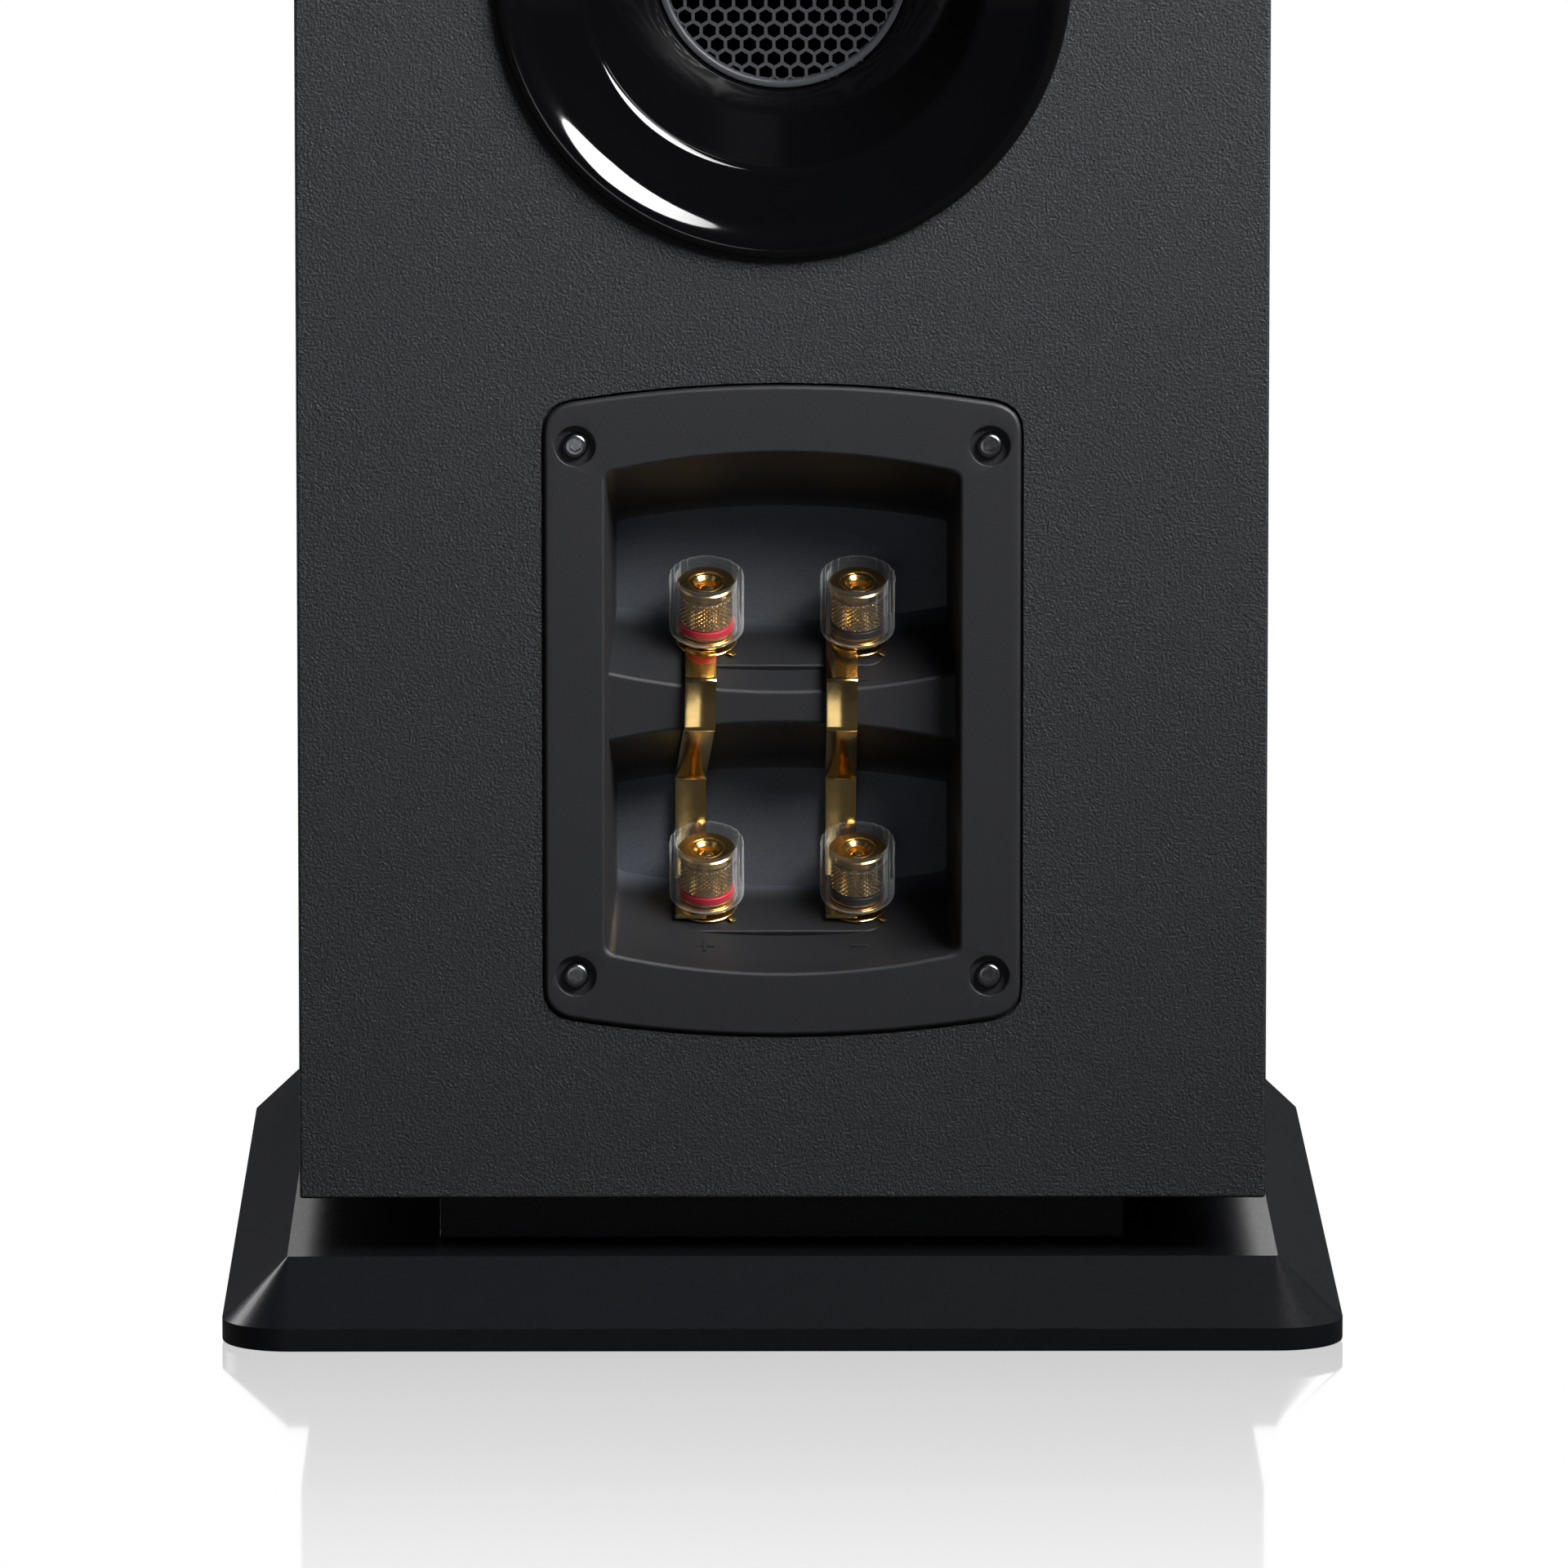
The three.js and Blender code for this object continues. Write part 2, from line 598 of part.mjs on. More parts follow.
function addBindingPosts(cup) {
  const profiles = lathePieces();
  postRows.forEach(([rowName, row]) => postColumns.forEach(([side, x]) => {
    const post = new THREE.Group();
    const [y, z] = postPoint(row, 0);
    post.position.set(x, y, z);
    post.rotation.x = lean;
    cup.add(post);
    const label = `${rowName}_${side}`;
    const segments = 12;
    addMesh(post, `post_stud_${label}`, turned(profiles.studs, segments), 'gold');
    addMesh(post, `clamp_washer_${label}`, turned(profiles.washer, segments), 'gold');
    addMesh(post, `knob_core_${label}`, turned(profiles.core, segments), 'gold');
    const ringFinish = side === 'left' ? 'red' : 'black';
    addMesh(post, `colour_ring_${label}`, turned(profiles.ring, segments), ringFinish);
    addMesh(post, `knob_sleeve_${label}`, turned(profiles.sleeve, segments), 'clear');
  }));
}

// Jumper straps: folded gold strips from each upper post to the post below it.
function strapOutline() {
  const seat = collarHeight + gap + strapThickness / 2;
  const centre = [
    postPoint(0, seat, -6.5),
    postPoint(0, seat, 18.2),
    [-wellDepth + 2.2, -5.8],
    [-recessDepth + 2.6, -20.3],
    postPoint(1, seat, -8.7),
    postPoint(1, seat, 6),
  ];
  const half = strapThickness / 2;
  const points = centre.map(([y, z]) => new THREE.Vector2(y, z));
  const side = (sign) => points.map((point, i) => {
    const before = points[Math.max(i - 1, 0)];
    const after = points[Math.min(i + 1, points.length - 1)];
    const into = point.clone().sub(before);
    const out = after.clone().sub(point);
    const first = (into.length() > 0 ? into : out).clone().normalize();
    const second = (out.length() > 0 ? out : into).clone().normalize();
    const normal = new THREE.Vector2(-first.y - second.y, first.x + second.x).normalize();
    const spread = half / normal.dot(new THREE.Vector2(-first.y, first.x));
    return point.clone().addScaledVector(normal, sign * spread);
  });
  return new THREE.Shape([...side(1), ...side(-1).reverse()]);
}

function addJumperStraps(cup) {
  const jogTop = -4;
  const jogBottom = -16;
  postColumns.forEach(([side, x]) => {
    const jog = side === 'left' ? strapJog : 0;
    const middle = x + strapOffset;
    const strip = sidewaysPrism(strapOutline(), middle - strapWidth / 2, middle + strapWidth / 2);
    reshape(strip, (px, y, z) => {
      const share = THREE.MathUtils.clamp((z - jogBottom) / (jogTop - jogBottom), 0, 1);
      return [px - jog * share, y, z];
    });
    const bores = postRows.map(([, row]) => postBar(studRadius + gap, row, x, -2, 6));
    addMesh(cup, `jumper_strap_${side}`, carve(strip, bores), 'gold');
  });
}

// Cone drivers, each in a frame whose Y axis points out of the front baffle.
function addConeDriver(name, spec, z) {
  const driver = addGroup(0, frontFace, z, Math.PI);
  const wall = 2.5;
  const surroundOuter = spec.cutout - 4;
  const throat = spec.coil + 8;
  const floor = -spec.basketDepth;
  addMesh(driver, `${name}_basket`, turned([
    [spec.frame, gap], [spec.frame, spec.lip - 1], [spec.frame - 1, spec.lip],
    [surroundOuter + 1, spec.lip], [surroundOuter, 0.5], [surroundOuter, -5], [spec.coil * 3, floor + wall],
    [throat, floor + wall], [throat, floor], [spec.coil * 3 + wall, floor],
    [spec.cutout - 1, -5], [spec.cutout - 1, gap], [spec.frame, gap],
  ]), 'moulded');
  const rollOuter = surroundOuter - gap;
  const rollInner = spec.cone + gap;
  const middle = (rollOuter + rollInner) / 2;
  const thick = 0.9;
  const across = (rollOuter - rollInner) / 2;
  const roll = [];
  const steps = 4;
  for (let i = 0; i <= steps; i += 1) {
    const angle = (Math.PI * i) / steps;
    roll.push([middle + across * Math.cos(angle), spec.roll * Math.sin(angle)]);
  }
  for (let i = steps; i >= 0; i -= 1) {
    const angle = (Math.PI * i) / steps;
    roll.push([middle + (across - thick) * Math.cos(angle), spec.roll * Math.sin(angle) - thick]);
  }
  roll.push(roll[0]);
  addMesh(driver, `${name}_surround`, turned(roll), 'rubber');
  const cap = spec.coil + 3;
  const dip = -spec.coneDepth;
  const skin = spec.coneThickness;
  const coilEnd = floor - 4;
  addMesh(driver, `${name}_cone`, turned([
    [0, dip + 7], [cap * 0.5, dip + 6], [cap, dip + 2.5], [spec.cone, 0], [spec.cone, -skin],
    [spec.coil, dip - skin], [spec.coil, coilEnd], [spec.coil - 0.8, coilEnd],
    [spec.coil - 0.8, dip + 2], [0, dip + 5],
  ].reverse()), 'cone');
  const magnetTop = floor - gap;
  const magnetEnd = magnetTop - spec.magnetHeight;
  addMesh(driver, `${name}_motor`, turned([
    [0, floor + 10], [spec.coil - 1.6, floor + 10], [spec.coil - 1.6, magnetEnd + 5],
    [spec.coil + 0.8, magnetEnd + 5], [spec.coil + 0.8, magnetTop], [spec.magnet, magnetTop],
    [spec.magnet, magnetEnd], [0, magnetEnd],
  ].reverse()), 'magnet');
}

function addTweeter() {
  const tweeter = addGroup(0, frontFace, tweeterZ, Math.PI);
  const throat = domeRadius + 1;
  addMesh(tweeter, 'tweeter_faceplate', turned([
    [tweeterRadius, gap], [tweeterRadius, tweeterPlate - 1], [tweeterRadius - 1, tweeterPlate],
    [tweeterRadius * 0.62, tweeterPlate - 0.4], [throat + 4, 1.4], [throat, 0.6], [throat, -1.5],
    [tweeterBody - 1, -1.5], [tweeterBody - 1, gap], [tweeterRadius, gap],
  ]), 'moulded');
  const dome = [];
  const steps = 4;
  for (let i = 0; i <= steps; i += 1) {
    const angle = (Math.PI / 2) * (1 - i / steps);
    dome.push([domeRadius * Math.cos(angle), 5 * Math.sin(angle) - 1.2]);
  }
  dome[0] = [0, 3.8];
  dome.push([domeRadius, -4], [domeRadius - 0.8, -4], [domeRadius - 0.8, -1.6], [0, 2.8]);
  addMesh(tweeter, 'tweeter_dome', turned(dome.reverse()), 'cone');
  const motorTop = -1.5 - gap;
  addMesh(tweeter, 'tweeter_motor', turned([
    [0, motorTop - 1.2], [domeRadius - 2, motorTop - 1.2], [domeRadius - 2, motorTop - 8],
    [domeRadius + 1.2, motorTop - 8], [domeRadius + 1.2, motorTop], [tweeterBody - 1, motorTop],
    [tweeterBody - 1, motorTop - tweeterDepth], [0, motorTop - tweeterDepth],
  ].reverse(), 24), 'magnet');
}

// Inside the cabinet: the crossover board on the bottom panel and a wad of damping wool.
function addInterior() {
  const base = cabinetBottom + board + gap;
  const plate = box(-60, 60, -90, 10, base, base + 4);
  const parts = [
    new THREE.CylinderGeometry(20, 20, 22, 20).rotateX(Math.PI / 2).translate(-32, -62, base + 14),
    new THREE.CylinderGeometry(16, 16, 18, 20).rotateX(Math.PI / 2).translate(30, -66, base + 12),
    box(-50, -20, -30, -8, base + 3, base + 20),
    box(0, 44, -34, -10, base + 3, base + 22),
  ];
  addMesh(speaker, 'crossover_board', carve(plate, [], parts), 'circuit');
  const wad = innerWidth / 2 - 6;
  const wool = box(-wad, wad, 40, innerDepth / 2 - 4, portZ + 120, upperWooferZ);
  addMesh(speaker, 'damping_wool', wool, 'wool');
}

addPlinth();
addCabinet();
addFrontBaffle();
addRearPanel();
addPort();
const terminalCup = addTerminalCup();
addBindingPosts(terminalCup);
addJumperStraps(terminalCup);
addTweeter();
addConeDriver('midrange', midrange, midrangeZ);
addConeDriver('upper_woofer', woofer, upperWooferZ);
addConeDriver('lower_woofer', woofer, lowerWooferZ);
addInterior();

export default speaker;
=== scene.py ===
import json
import math
import bmesh
import bpy
from mathutils import Matrix, Vector, noise


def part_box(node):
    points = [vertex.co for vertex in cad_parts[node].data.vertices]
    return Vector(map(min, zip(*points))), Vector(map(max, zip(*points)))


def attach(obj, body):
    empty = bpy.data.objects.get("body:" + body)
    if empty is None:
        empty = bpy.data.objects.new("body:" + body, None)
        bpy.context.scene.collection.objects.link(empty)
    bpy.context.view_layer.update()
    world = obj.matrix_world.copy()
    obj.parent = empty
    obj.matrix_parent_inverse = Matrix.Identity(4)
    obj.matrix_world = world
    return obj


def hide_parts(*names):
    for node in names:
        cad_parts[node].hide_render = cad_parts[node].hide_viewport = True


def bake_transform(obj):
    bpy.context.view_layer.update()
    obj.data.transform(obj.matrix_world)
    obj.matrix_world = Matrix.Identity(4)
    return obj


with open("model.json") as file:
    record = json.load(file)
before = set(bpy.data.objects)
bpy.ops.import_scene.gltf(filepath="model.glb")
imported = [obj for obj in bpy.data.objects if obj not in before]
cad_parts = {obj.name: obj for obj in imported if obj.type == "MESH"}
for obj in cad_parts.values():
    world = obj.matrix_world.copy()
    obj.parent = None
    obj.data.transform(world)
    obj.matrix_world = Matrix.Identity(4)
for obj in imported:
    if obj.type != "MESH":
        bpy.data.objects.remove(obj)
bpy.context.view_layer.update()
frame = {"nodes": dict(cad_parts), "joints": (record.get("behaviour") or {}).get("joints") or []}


# --- Camera -------------------------------------------------------------------------------
# A long lens stands well behind the speaker, a little above half its height, and looks down
# at the lower part of the rear: the port, the terminal cup and the plinth.
mm = 0.001
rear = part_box("rear_panel")[1].y
stand_back = 3360 * mm
camera_height = 644 * mm
camera_aside = 18.5 * mm
look_down = 0.15405  # slope of the line of sight
look_aside = -0.0056
focal_length = 350.4  # millimetres, on a sensor 36 mm wide
camera_data = bpy.data.cameras.new("camera")
camera_data.lens = focal_length
camera_data.sensor_width = 36
camera_data.clip_start = 0.05
camera_data.clip_end = 50
camera = bpy.data.objects.new("camera", camera_data)
camera.location = (camera_aside, rear + stand_back, camera_height)
camera.rotation_euler = Vector((look_aside, -1, -look_down)).to_track_quat("-Z", "Y").to_euler()
bpy.context.scene.collection.objects.link(camera)
bpy.context.scene.camera = camera


# --- Floor and light ----------------------------------------------------------------------
# A white acrylic table with a faint mirror image of what stands on it. The key softbox is high
# on the side of the black terminals, and the room behind the camera stays dim.
def srgb(code):
    """A hex colour such as "2c2d31" as linear red, green, blue and alpha."""
    parts = [int(code[i:i + 2], 16) / 255 for i in (0, 2, 4)]
    return tuple(p / 12.92 if p < 0.04045 else ((p + 0.055) / 1.055) ** 2.4 for p in parts) + (1.0,)


def add(tree, kind, settings=None, links=None):
    """Adds a node. Settings name its inputs or its properties, and links name its inputs."""
    node = tree.nodes.new(kind)
    for name, value in (settings or {}).items():
        if isinstance(name, int) or name in node.inputs:
            node.inputs[name].default_value = value
        else:
            setattr(node, name, value)
    for name, socket in (links or {}).items():
        tree.links.new(socket, node.inputs[name])
    return node


def new_material(name):
    material = bpy.data.materials.new(name)
    material.use_nodes = True
    material.node_tree.nodes.clear()
    return material, material.node_tree


def softbox(name, place, aim, size, power, colour="ffffff"):
    data = bpy.data.lights.new(name, "AREA")
    data.shape = "RECTANGLE"
    data.size, data.size_y = size
    data.energy = power
    data.color = srgb(colour)[:3]
    lamp = bpy.data.objects.new(name, data)
    lamp.location = place
    lamp.rotation_euler = (Vector(aim) - Vector(place)).to_track_quat("-Z", "Y").to_euler()
    bpy.context.scene.collection.objects.link(lamp)
    return lamp


def plain_sheet(name, half_size, place, material):
    bm = bmesh.new()
    bmesh.ops.create_grid(bm, x_segments=1, y_segments=1, size=half_size)
    bm.transform(place)
    mesh = bpy.data.meshes.new(name)
    bm.to_mesh(mesh)
    bm.free()
    mesh.materials.append(material)
    sheet = bpy.data.objects.new(name, mesh)
    bpy.context.scene.collection.objects.link(sheet)
    return sheet


def make_floor():
    # The table glows white to the eye but sends little light back up. Its mirror image of the
    # speaker starts behind the rear panel and fades over the first quarter of a metre.
    material, tree = new_material("white acrylic table")
    place = add(tree, "ShaderNodeTexCoord")
    across = add(tree, "ShaderNodeSeparateXYZ", {}, {0: place.outputs["Object"]})
    away = add(tree, "ShaderNodeMapRange", {"From Min": rear - 0.12, "From Max": rear + 0.6},
               {"Value": across.outputs["Y"]})
    fade = add(tree, "ShaderNodeValToRGB", {}, {"Fac": away.outputs[0]})
    fade.color_ramp.elements[0].color = (0, 0, 0, 1)
    fade.color_ramp.elements[1].color = (0, 0, 0, 1)
    for position, share_of_mirror in ((0.167, 0.4), (0.53, 0.14)):
        stop = fade.color_ramp.elements.new(position)
        stop.color = (share_of_mirror, share_of_mirror, share_of_mirror, 1)
    aside = add(tree, "ShaderNodeMath", {"operation": "ABSOLUTE"}, {0: across.outputs["X"]})
    beside = add(tree, "ShaderNodeMapRange",
                 {"From Min": 0.18, "From Max": 0.36, "To Min": 1.0, "To Max": 0.0},
                 {"Value": aside.outputs[0]})
    near_speaker = add(tree, "ShaderNodeMath", {"operation": "MULTIPLY"},
                       {0: fade.outputs["Color"], 1: beside.outputs[0]})
    path = add(tree, "ShaderNodeLightPath")
    gloss = add(tree, "ShaderNodeMath", {"operation": "MULTIPLY"},
                {0: near_speaker.outputs[0], 1: path.outputs["Is Camera Ray"]})
    strength = add(tree, "ShaderNodeMapRange", {"To Min": 0.05, "To Max": 1.0},
                   {"Value": path.outputs["Is Camera Ray"]})
    glow = add(tree, "ShaderNodeEmission", {"Color": srgb("ffffff")},
               {"Strength": strength.outputs[0]})
    mirror = add(tree, "ShaderNodeBsdfGlossy", {"Color": srgb("ffffff"), "Roughness": 0.06})
    mixed = add(tree, "ShaderNodeMixShader", {},
                {0: gloss.outputs[0], 1: glow.outputs[0], 2: mirror.outputs[0]})
    add(tree, "ShaderNodeOutputMaterial", {}, {"Surface": mixed.outputs[0]})
    plain_sheet("floor", 14, Matrix(), material)


def make_backdrop():
    # A narrow sheet of white paper well in front of the speaker, for the table to mirror, and a
    # black flag that keeps its light from passing under the cabinet.
    material, tree = new_material("white backdrop paper")
    glow = add(tree, "ShaderNodeEmission", {"Color": srgb("ffffff"), "Strength": 1.0})
    add(tree, "ShaderNodeOutputMaterial", {}, {"Surface": glow.outputs[0]})
    upright = Matrix.Rotation(math.pi / 2, 4, "X")
    plain_sheet("backdrop", 0.5, Matrix.Translation((0, -4.5, 0.86)) @ upright, material)
    flag_material, tree = new_material("black velvet flag")
    velvet = add(tree, "ShaderNodeBsdfDiffuse", {"Color": srgb("050505")})
    add(tree, "ShaderNodeOutputMaterial", {}, {"Surface": velvet.outputs[0]})
    flag_place = Matrix.Translation((0, -rear - 0.06, -0.07)) @ upright
    flag = plain_sheet("flag", 0.12, flag_place, flag_material)
    flag.visible_camera = False


def make_world():
    world = bpy.data.worlds.new("studio")
    world.use_nodes = True
    tree = world.node_tree
    tree.nodes.clear()
    seen = add(tree, "ShaderNodeBackground", {"Color": srgb("ffffff"), "Strength": 1.0})
    dim = add(tree, "ShaderNodeBackground", {"Color": srgb("c9d2e6"), "Strength": 0.03})
    path = add(tree, "ShaderNodeLightPath")
    mixed = add(tree, "ShaderNodeMixShader", {},
                {0: path.outputs["Is Camera Ray"], 1: dim.outputs[0], 2: seen.outputs[0]})
    add(tree, "ShaderNodeOutputWorld", {}, {"Surface": mixed.outputs[0]})
    bpy.context.scene.world = world


make_floor()
make_backdrop()
make_world()
middle = Vector((0, rear, 230 * mm))
key = softbox("key", (-0.64, rear + 0.6, 1.06), (-0.04, rear, 0.58), (0.8, 0.75), 10.5)
key.data.spread = math.radians(72)
softbox("card", (0.1575, rear + 0.8, 0.075), (0.1575, rear, 0.075), (0.285, 0.13), 0.14)
fill = softbox("fill", (-0.35, rear + 2.2, 0.75), middle, (0.9, 0.9), 4, "dfe6f5")
fill.visible_glossy = False
overhead = softbox("overhead", (0, -0.5, 2.6), (0, 0, 0.5), (1.6, 1.6), 10)
overhead.visible_glossy = False
softbox("front", (-0.7, -1.9, 2.0), (0, 0, 0.6), (1.3, 1.3), 60)
softbox("side", (2.2, -1.2, 1.3), (0, 0, 0.55), (1.2, 1.6), 45)
bpy.context.scene.view_settings.view_transform = "Standard"


# --- Cabinet ------------------------------------------------------------------------------
# Six fibreboard panels under a fine-grained black vinyl wrap. The rear panel and the baffle
# cover the edges of the others, and a hair-wide seam shows where they meet.
def piece_from(bm, name, material, body, smooth_under=35):
    """Turns a bmesh into a piece with its larger angles kept sharp. It rides on a body, if any."""
    mesh = bpy.data.meshes.new(name)
    for face in bm.faces:
        face.smooth = True
    bm.to_mesh(mesh)
    bm.free()
    mesh.set_sharp_from_angle(angle=math.radians(smooth_under))
    mesh.materials.append(material)
    piece = bpy.data.objects.new(name, mesh)
    bpy.context.scene.collection.objects.link(piece)
    if body:
        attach(piece, body)
    return piece


def evened(piece):
    """Keeps flat faces flat next to their rounded edges."""
    modifier = piece.modifiers.new("even normals", "WEIGHTED_NORMAL")
    modifier.keep_sharp = True
    return piece


def grain_of(tree, size, detail, **more):
    """Noise in the object's own space, with grains of a size in millimetres."""
    place = add(tree, "ShaderNodeTexCoord")
    grain = add(tree, "ShaderNodeTexNoise", {"Scale": 1 / (size * mm), "Detail": detail} | more,
                {"Vector": place.outputs["Object"]})
    return grain.outputs["Fac"]


def ramp(tree, share, low, high):
    """A colour ramp between two stops, each a position and a hex colour."""
    colour = add(tree, "ShaderNodeValToRGB", {}, {"Fac": share})
    for stop, (position, code) in zip(colour.color_ramp.elements, (low, high)):
        stop.position = position
        stop.color = srgb(code)
    return colour.outputs["Color"]


def bumped(tree, height, strength, relief):
    """A normal that follows a height, with its relief in millimetres."""
    bump = add(tree, "ShaderNodeBump", {"Strength": strength, "Distance": relief * mm},
               {"Height": height})
    return bump.outputs["Normal"]


def surfaced(tree, settings, links):
    """Ends a material with one principled surface."""
    surface = add(tree, "ShaderNodeBsdfPrincipled", settings, links)
    add(tree, "ShaderNodeOutputMaterial", {}, {"Surface": surface.outputs["BSDF"]})


def textured_vinyl():
    # PVC foil embossed with a fine sandy grain: satin, with tiny pale peaks.
    grain_size, cell_size = 0.5, 0.8
    material, tree = new_material("embossed black vinyl")
    grain = grain_of(tree, grain_size, 3, Roughness=0.6)
    place = add(tree, "ShaderNodeTexCoord")
    cells = add(tree, "ShaderNodeTexVoronoi", {"Scale": 1 / (cell_size * mm)},
                {"Vector": place.outputs["Object"]})
    height = add(tree, "ShaderNodeMath", {"operation": "MULTIPLY_ADD", 1: 0.35},
                 {0: cells.outputs["Distance"], 2: grain})
    surfaced(tree, {"Roughness": 0.5, "IOR": 1.5},
             {"Base Color": ramp(tree, grain, (0.46, "08090a"), (0.58, "1f2126")),
              "Normal": bumped(tree, height.outputs[0], 1.0, 0.24)})
    return material


def rounded(bm, geometry, offset, segments, affect="EDGES"):
    """Rounds edges or vertices with an even bevel."""
    bmesh.ops.bevel(bm, geom=list(geometry), offset=offset, segments=segments, profile=0.5,
                    affect=affect, material=-1)


def wrapped_board(node, material, edge_radius):
    """A copy of a CAD board, merged and with its outer edges rounded."""
    low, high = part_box(node)
    bm = bmesh.new()
    bm.from_mesh(frame["nodes"][node].data)
    bmesh.ops.remove_doubles(bm, verts=bm.verts, dist=0.01 * mm)
    bmesh.ops.dissolve_limit(bm, angle_limit=math.radians(1), verts=bm.verts, edges=bm.edges)
    reach = 0.05 * mm

    def on_outside(vert):
        return sum(abs(vert.co[i] - low[i]) < reach or abs(vert.co[i] - high[i]) < reach
                   for i in range(3)) >= 2

    edges = [e for e in bm.edges if all(on_outside(v) for v in e.verts)
             and e.calc_face_angle(0) > 1.4]
    rounded(bm, edges, edge_radius, 3)
    return evened(piece_from(bm, f"wrapped_{node}", material, "cabinet", 32))


vinyl_material = textured_vinyl()
for board in ("rear_panel", "front_baffle", "side_panel_left", "side_panel_right",
              "top_panel", "bottom_panel", "plinth_spacer"):
    wrapped = wrapped_board(board, vinyl_material, 0.7 * mm)
    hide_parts(board)


# --- Plinth -------------------------------------------------------------------------------
# A thick board under black semi-gloss lacquer, cut with an upright edge and a wide bevel that
# climbs to the cabinet's footprint. The edges are eased by sanding between coats.
def between(tree, share, low, high):
    """A value that goes from low to high as a share goes from 0 to 1."""
    value = add(tree, "ShaderNodeMapRange", {"To Min": low, "To Max": high}, {"Value": share})
    return value.outputs[0]


def black_lacquer():
    # Sprayed polyurethane over a sealed board: smooth, a little wavy, with a soft reflection.
    material, tree = new_material("black semi-gloss lacquer")
    ripple = grain_of(tree, 9, 2)
    dust = grain_of(tree, 0.7, 2)
    height = add(tree, "ShaderNodeMath", {"operation": "MULTIPLY_ADD", 1: 0.12},
                 {0: dust, 2: ripple})
    surfaced(tree, {"Base Color": srgb("0c0d10"), "IOR": 1.42},
             {"Roughness": between(tree, dust, 0.24, 0.34),
              "Normal": bumped(tree, height.outputs[0], 0.12, 0.3)})
    return material


def raised(bm, face):
    """Extrudes a face in place and returns its copy."""
    made = bmesh.ops.extrude_face_region(bm, geom=[face])["geom"]
    return [g for g in made if isinstance(g, bmesh.types.BMFace)][0]


def make_plinth():
    low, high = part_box("plinth")
    corner = 15.2 * mm
    land = 5.2 * mm
    bevel_run = 14.6 * mm
    eased = 0.6 * mm
    bm = bmesh.new()
    bmesh.ops.create_grid(bm, x_segments=1, y_segments=1, size=1)
    bmesh.ops.scale(bm, verts=bm.verts, vec=(high.x, high.y, 1))
    bmesh.ops.translate(bm, verts=bm.verts, vec=(0, 0, low.z))
    rounded(bm, bm.verts, corner, 12, "VERTICES")
    level = raised(bm, bm.faces[:][0])
    bmesh.ops.translate(bm, verts=level.verts, vec=(0, 0, land))
    top = raised(bm, level)
    keep = (corner - bevel_run) / corner
    inner_x = high.x - corner
    inner_y = high.y - corner
    for vert in top.verts:
        vert.co.z = high.z
        inside_x = max(-inner_x, min(inner_x, vert.co.x))
        inside_y = max(-inner_y, min(inner_y, vert.co.y))
        vert.co.x = inside_x + (vert.co.x - inside_x) * keep
        vert.co.y = inside_y + (vert.co.y - inside_y) * keep
    bmesh.ops.recalc_face_normals(bm, faces=bm.faces)
    creases = [e for e in bm.edges if e.calc_face_angle(0) > 0.5
               and abs(e.verts[0].co.z - e.verts[1].co.z) < 0.1 * mm
               and e.verts[0].co.z < high.z - mm]
    rounded(bm, creases, eased, 5)
    return evened(piece_from(bm, "lacquered_plinth", black_lacquer(), "cabinet", 40))


plinth = make_plinth()
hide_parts("plinth")


# --- Feet ---------------------------------------------------------------------------------
# Four moulded rubber pads glued in shallow pockets under the plinth.
def matt_rubber(name="matt black rubber"):
    # Filled rubber straight from the mould: matt, with a fine dull mottle.
    material, tree = new_material(name)
    mottle = grain_of(tree, 1.2, 3)
    surfaced(tree, {"Base Color": srgb("131416"), "IOR": 1.52},
             {"Roughness": between(tree, mottle, 0.62, 0.82),
              "Normal": bumped(tree, mottle, 0.2, 0.1)})
    return material


def refinish(node, material):
    """Gives a CAD node that stays in view its real finish."""
    mesh = frame["nodes"][node].data
    mesh.materials.clear()
    mesh.materials.append(material)


rubber_material = matt_rubber()
for foot in ("foot_rear_left", "foot_rear_right", "foot_front_left", "foot_front_right"):
    refinish(foot, rubber_material)


# --- Reflex port --------------------------------------------------------------------------
# A trumpet moulded in ABS and polished to a deep gloss: a domed flange on the rear panel, a
# wide bowl with one crease, and a spigot that the plain tube pushes onto.
def spun(profile, steps=64, closed=False):
    """A profile of (radius, height) points in millimetres, spun about Z."""
    bm = bmesh.new()
    verts = [bm.verts.new((r * mm, 0, h * mm)) for r, h in profile]
    pairs = list(zip(verts, verts[1:]))
    if closed:
        pairs.append((verts[-1], verts[0]))
    edges = [bm.edges.new(pair) for pair in pairs]
    bmesh.ops.spin(bm, geom=verts + edges, cent=(0, 0, 0), axis=(0, 0, 1), angle=math.tau,
                   steps=steps, use_merge=True)
    bmesh.ops.remove_doubles(bm, verts=bm.verts, dist=0.002 * mm)
    bmesh.ops.recalc_face_normals(bm, faces=bm.faces)
    return bm


def soften(bm, width, segments=3, over=40):
    """Rounds every edge of a bmesh that turns by more than an angle in degrees."""
    edges = [e for e in bm.edges if e.is_manifold and e.calc_face_angle(0) > math.radians(over)]
    rounded(bm, edges, width * mm, segments)


def curve_points(start, handle_a, handle_b, end, steps):
    """Points along a cubic curve, without its start."""
    controls = (start, handle_a, handle_b, end)
    points = []
    for i in range(1, steps + 1):
        t = i / steps
        weights = ((1 - t) ** 3, 3 * t * (1 - t) ** 2, 3 * t * t * (1 - t), t ** 3)
        points.append(tuple(sum(w * p[axis] for w, p in zip(weights, controls)) for axis in (0, 1)))
    return points


def black_gloss_abs():
    # Polished ABS: near-black, mirror smooth, with only a trace of moulding ripple.
    material, tree = new_material("polished black ABS")
    ripple = grain_of(tree, 14, 1)
    surfaced(tree, {"Base Color": srgb("050506"), "Roughness": 0.06, "IOR": 1.54},
             {"Normal": bumped(tree, ripple, 0.05, 0.3)})
    return material


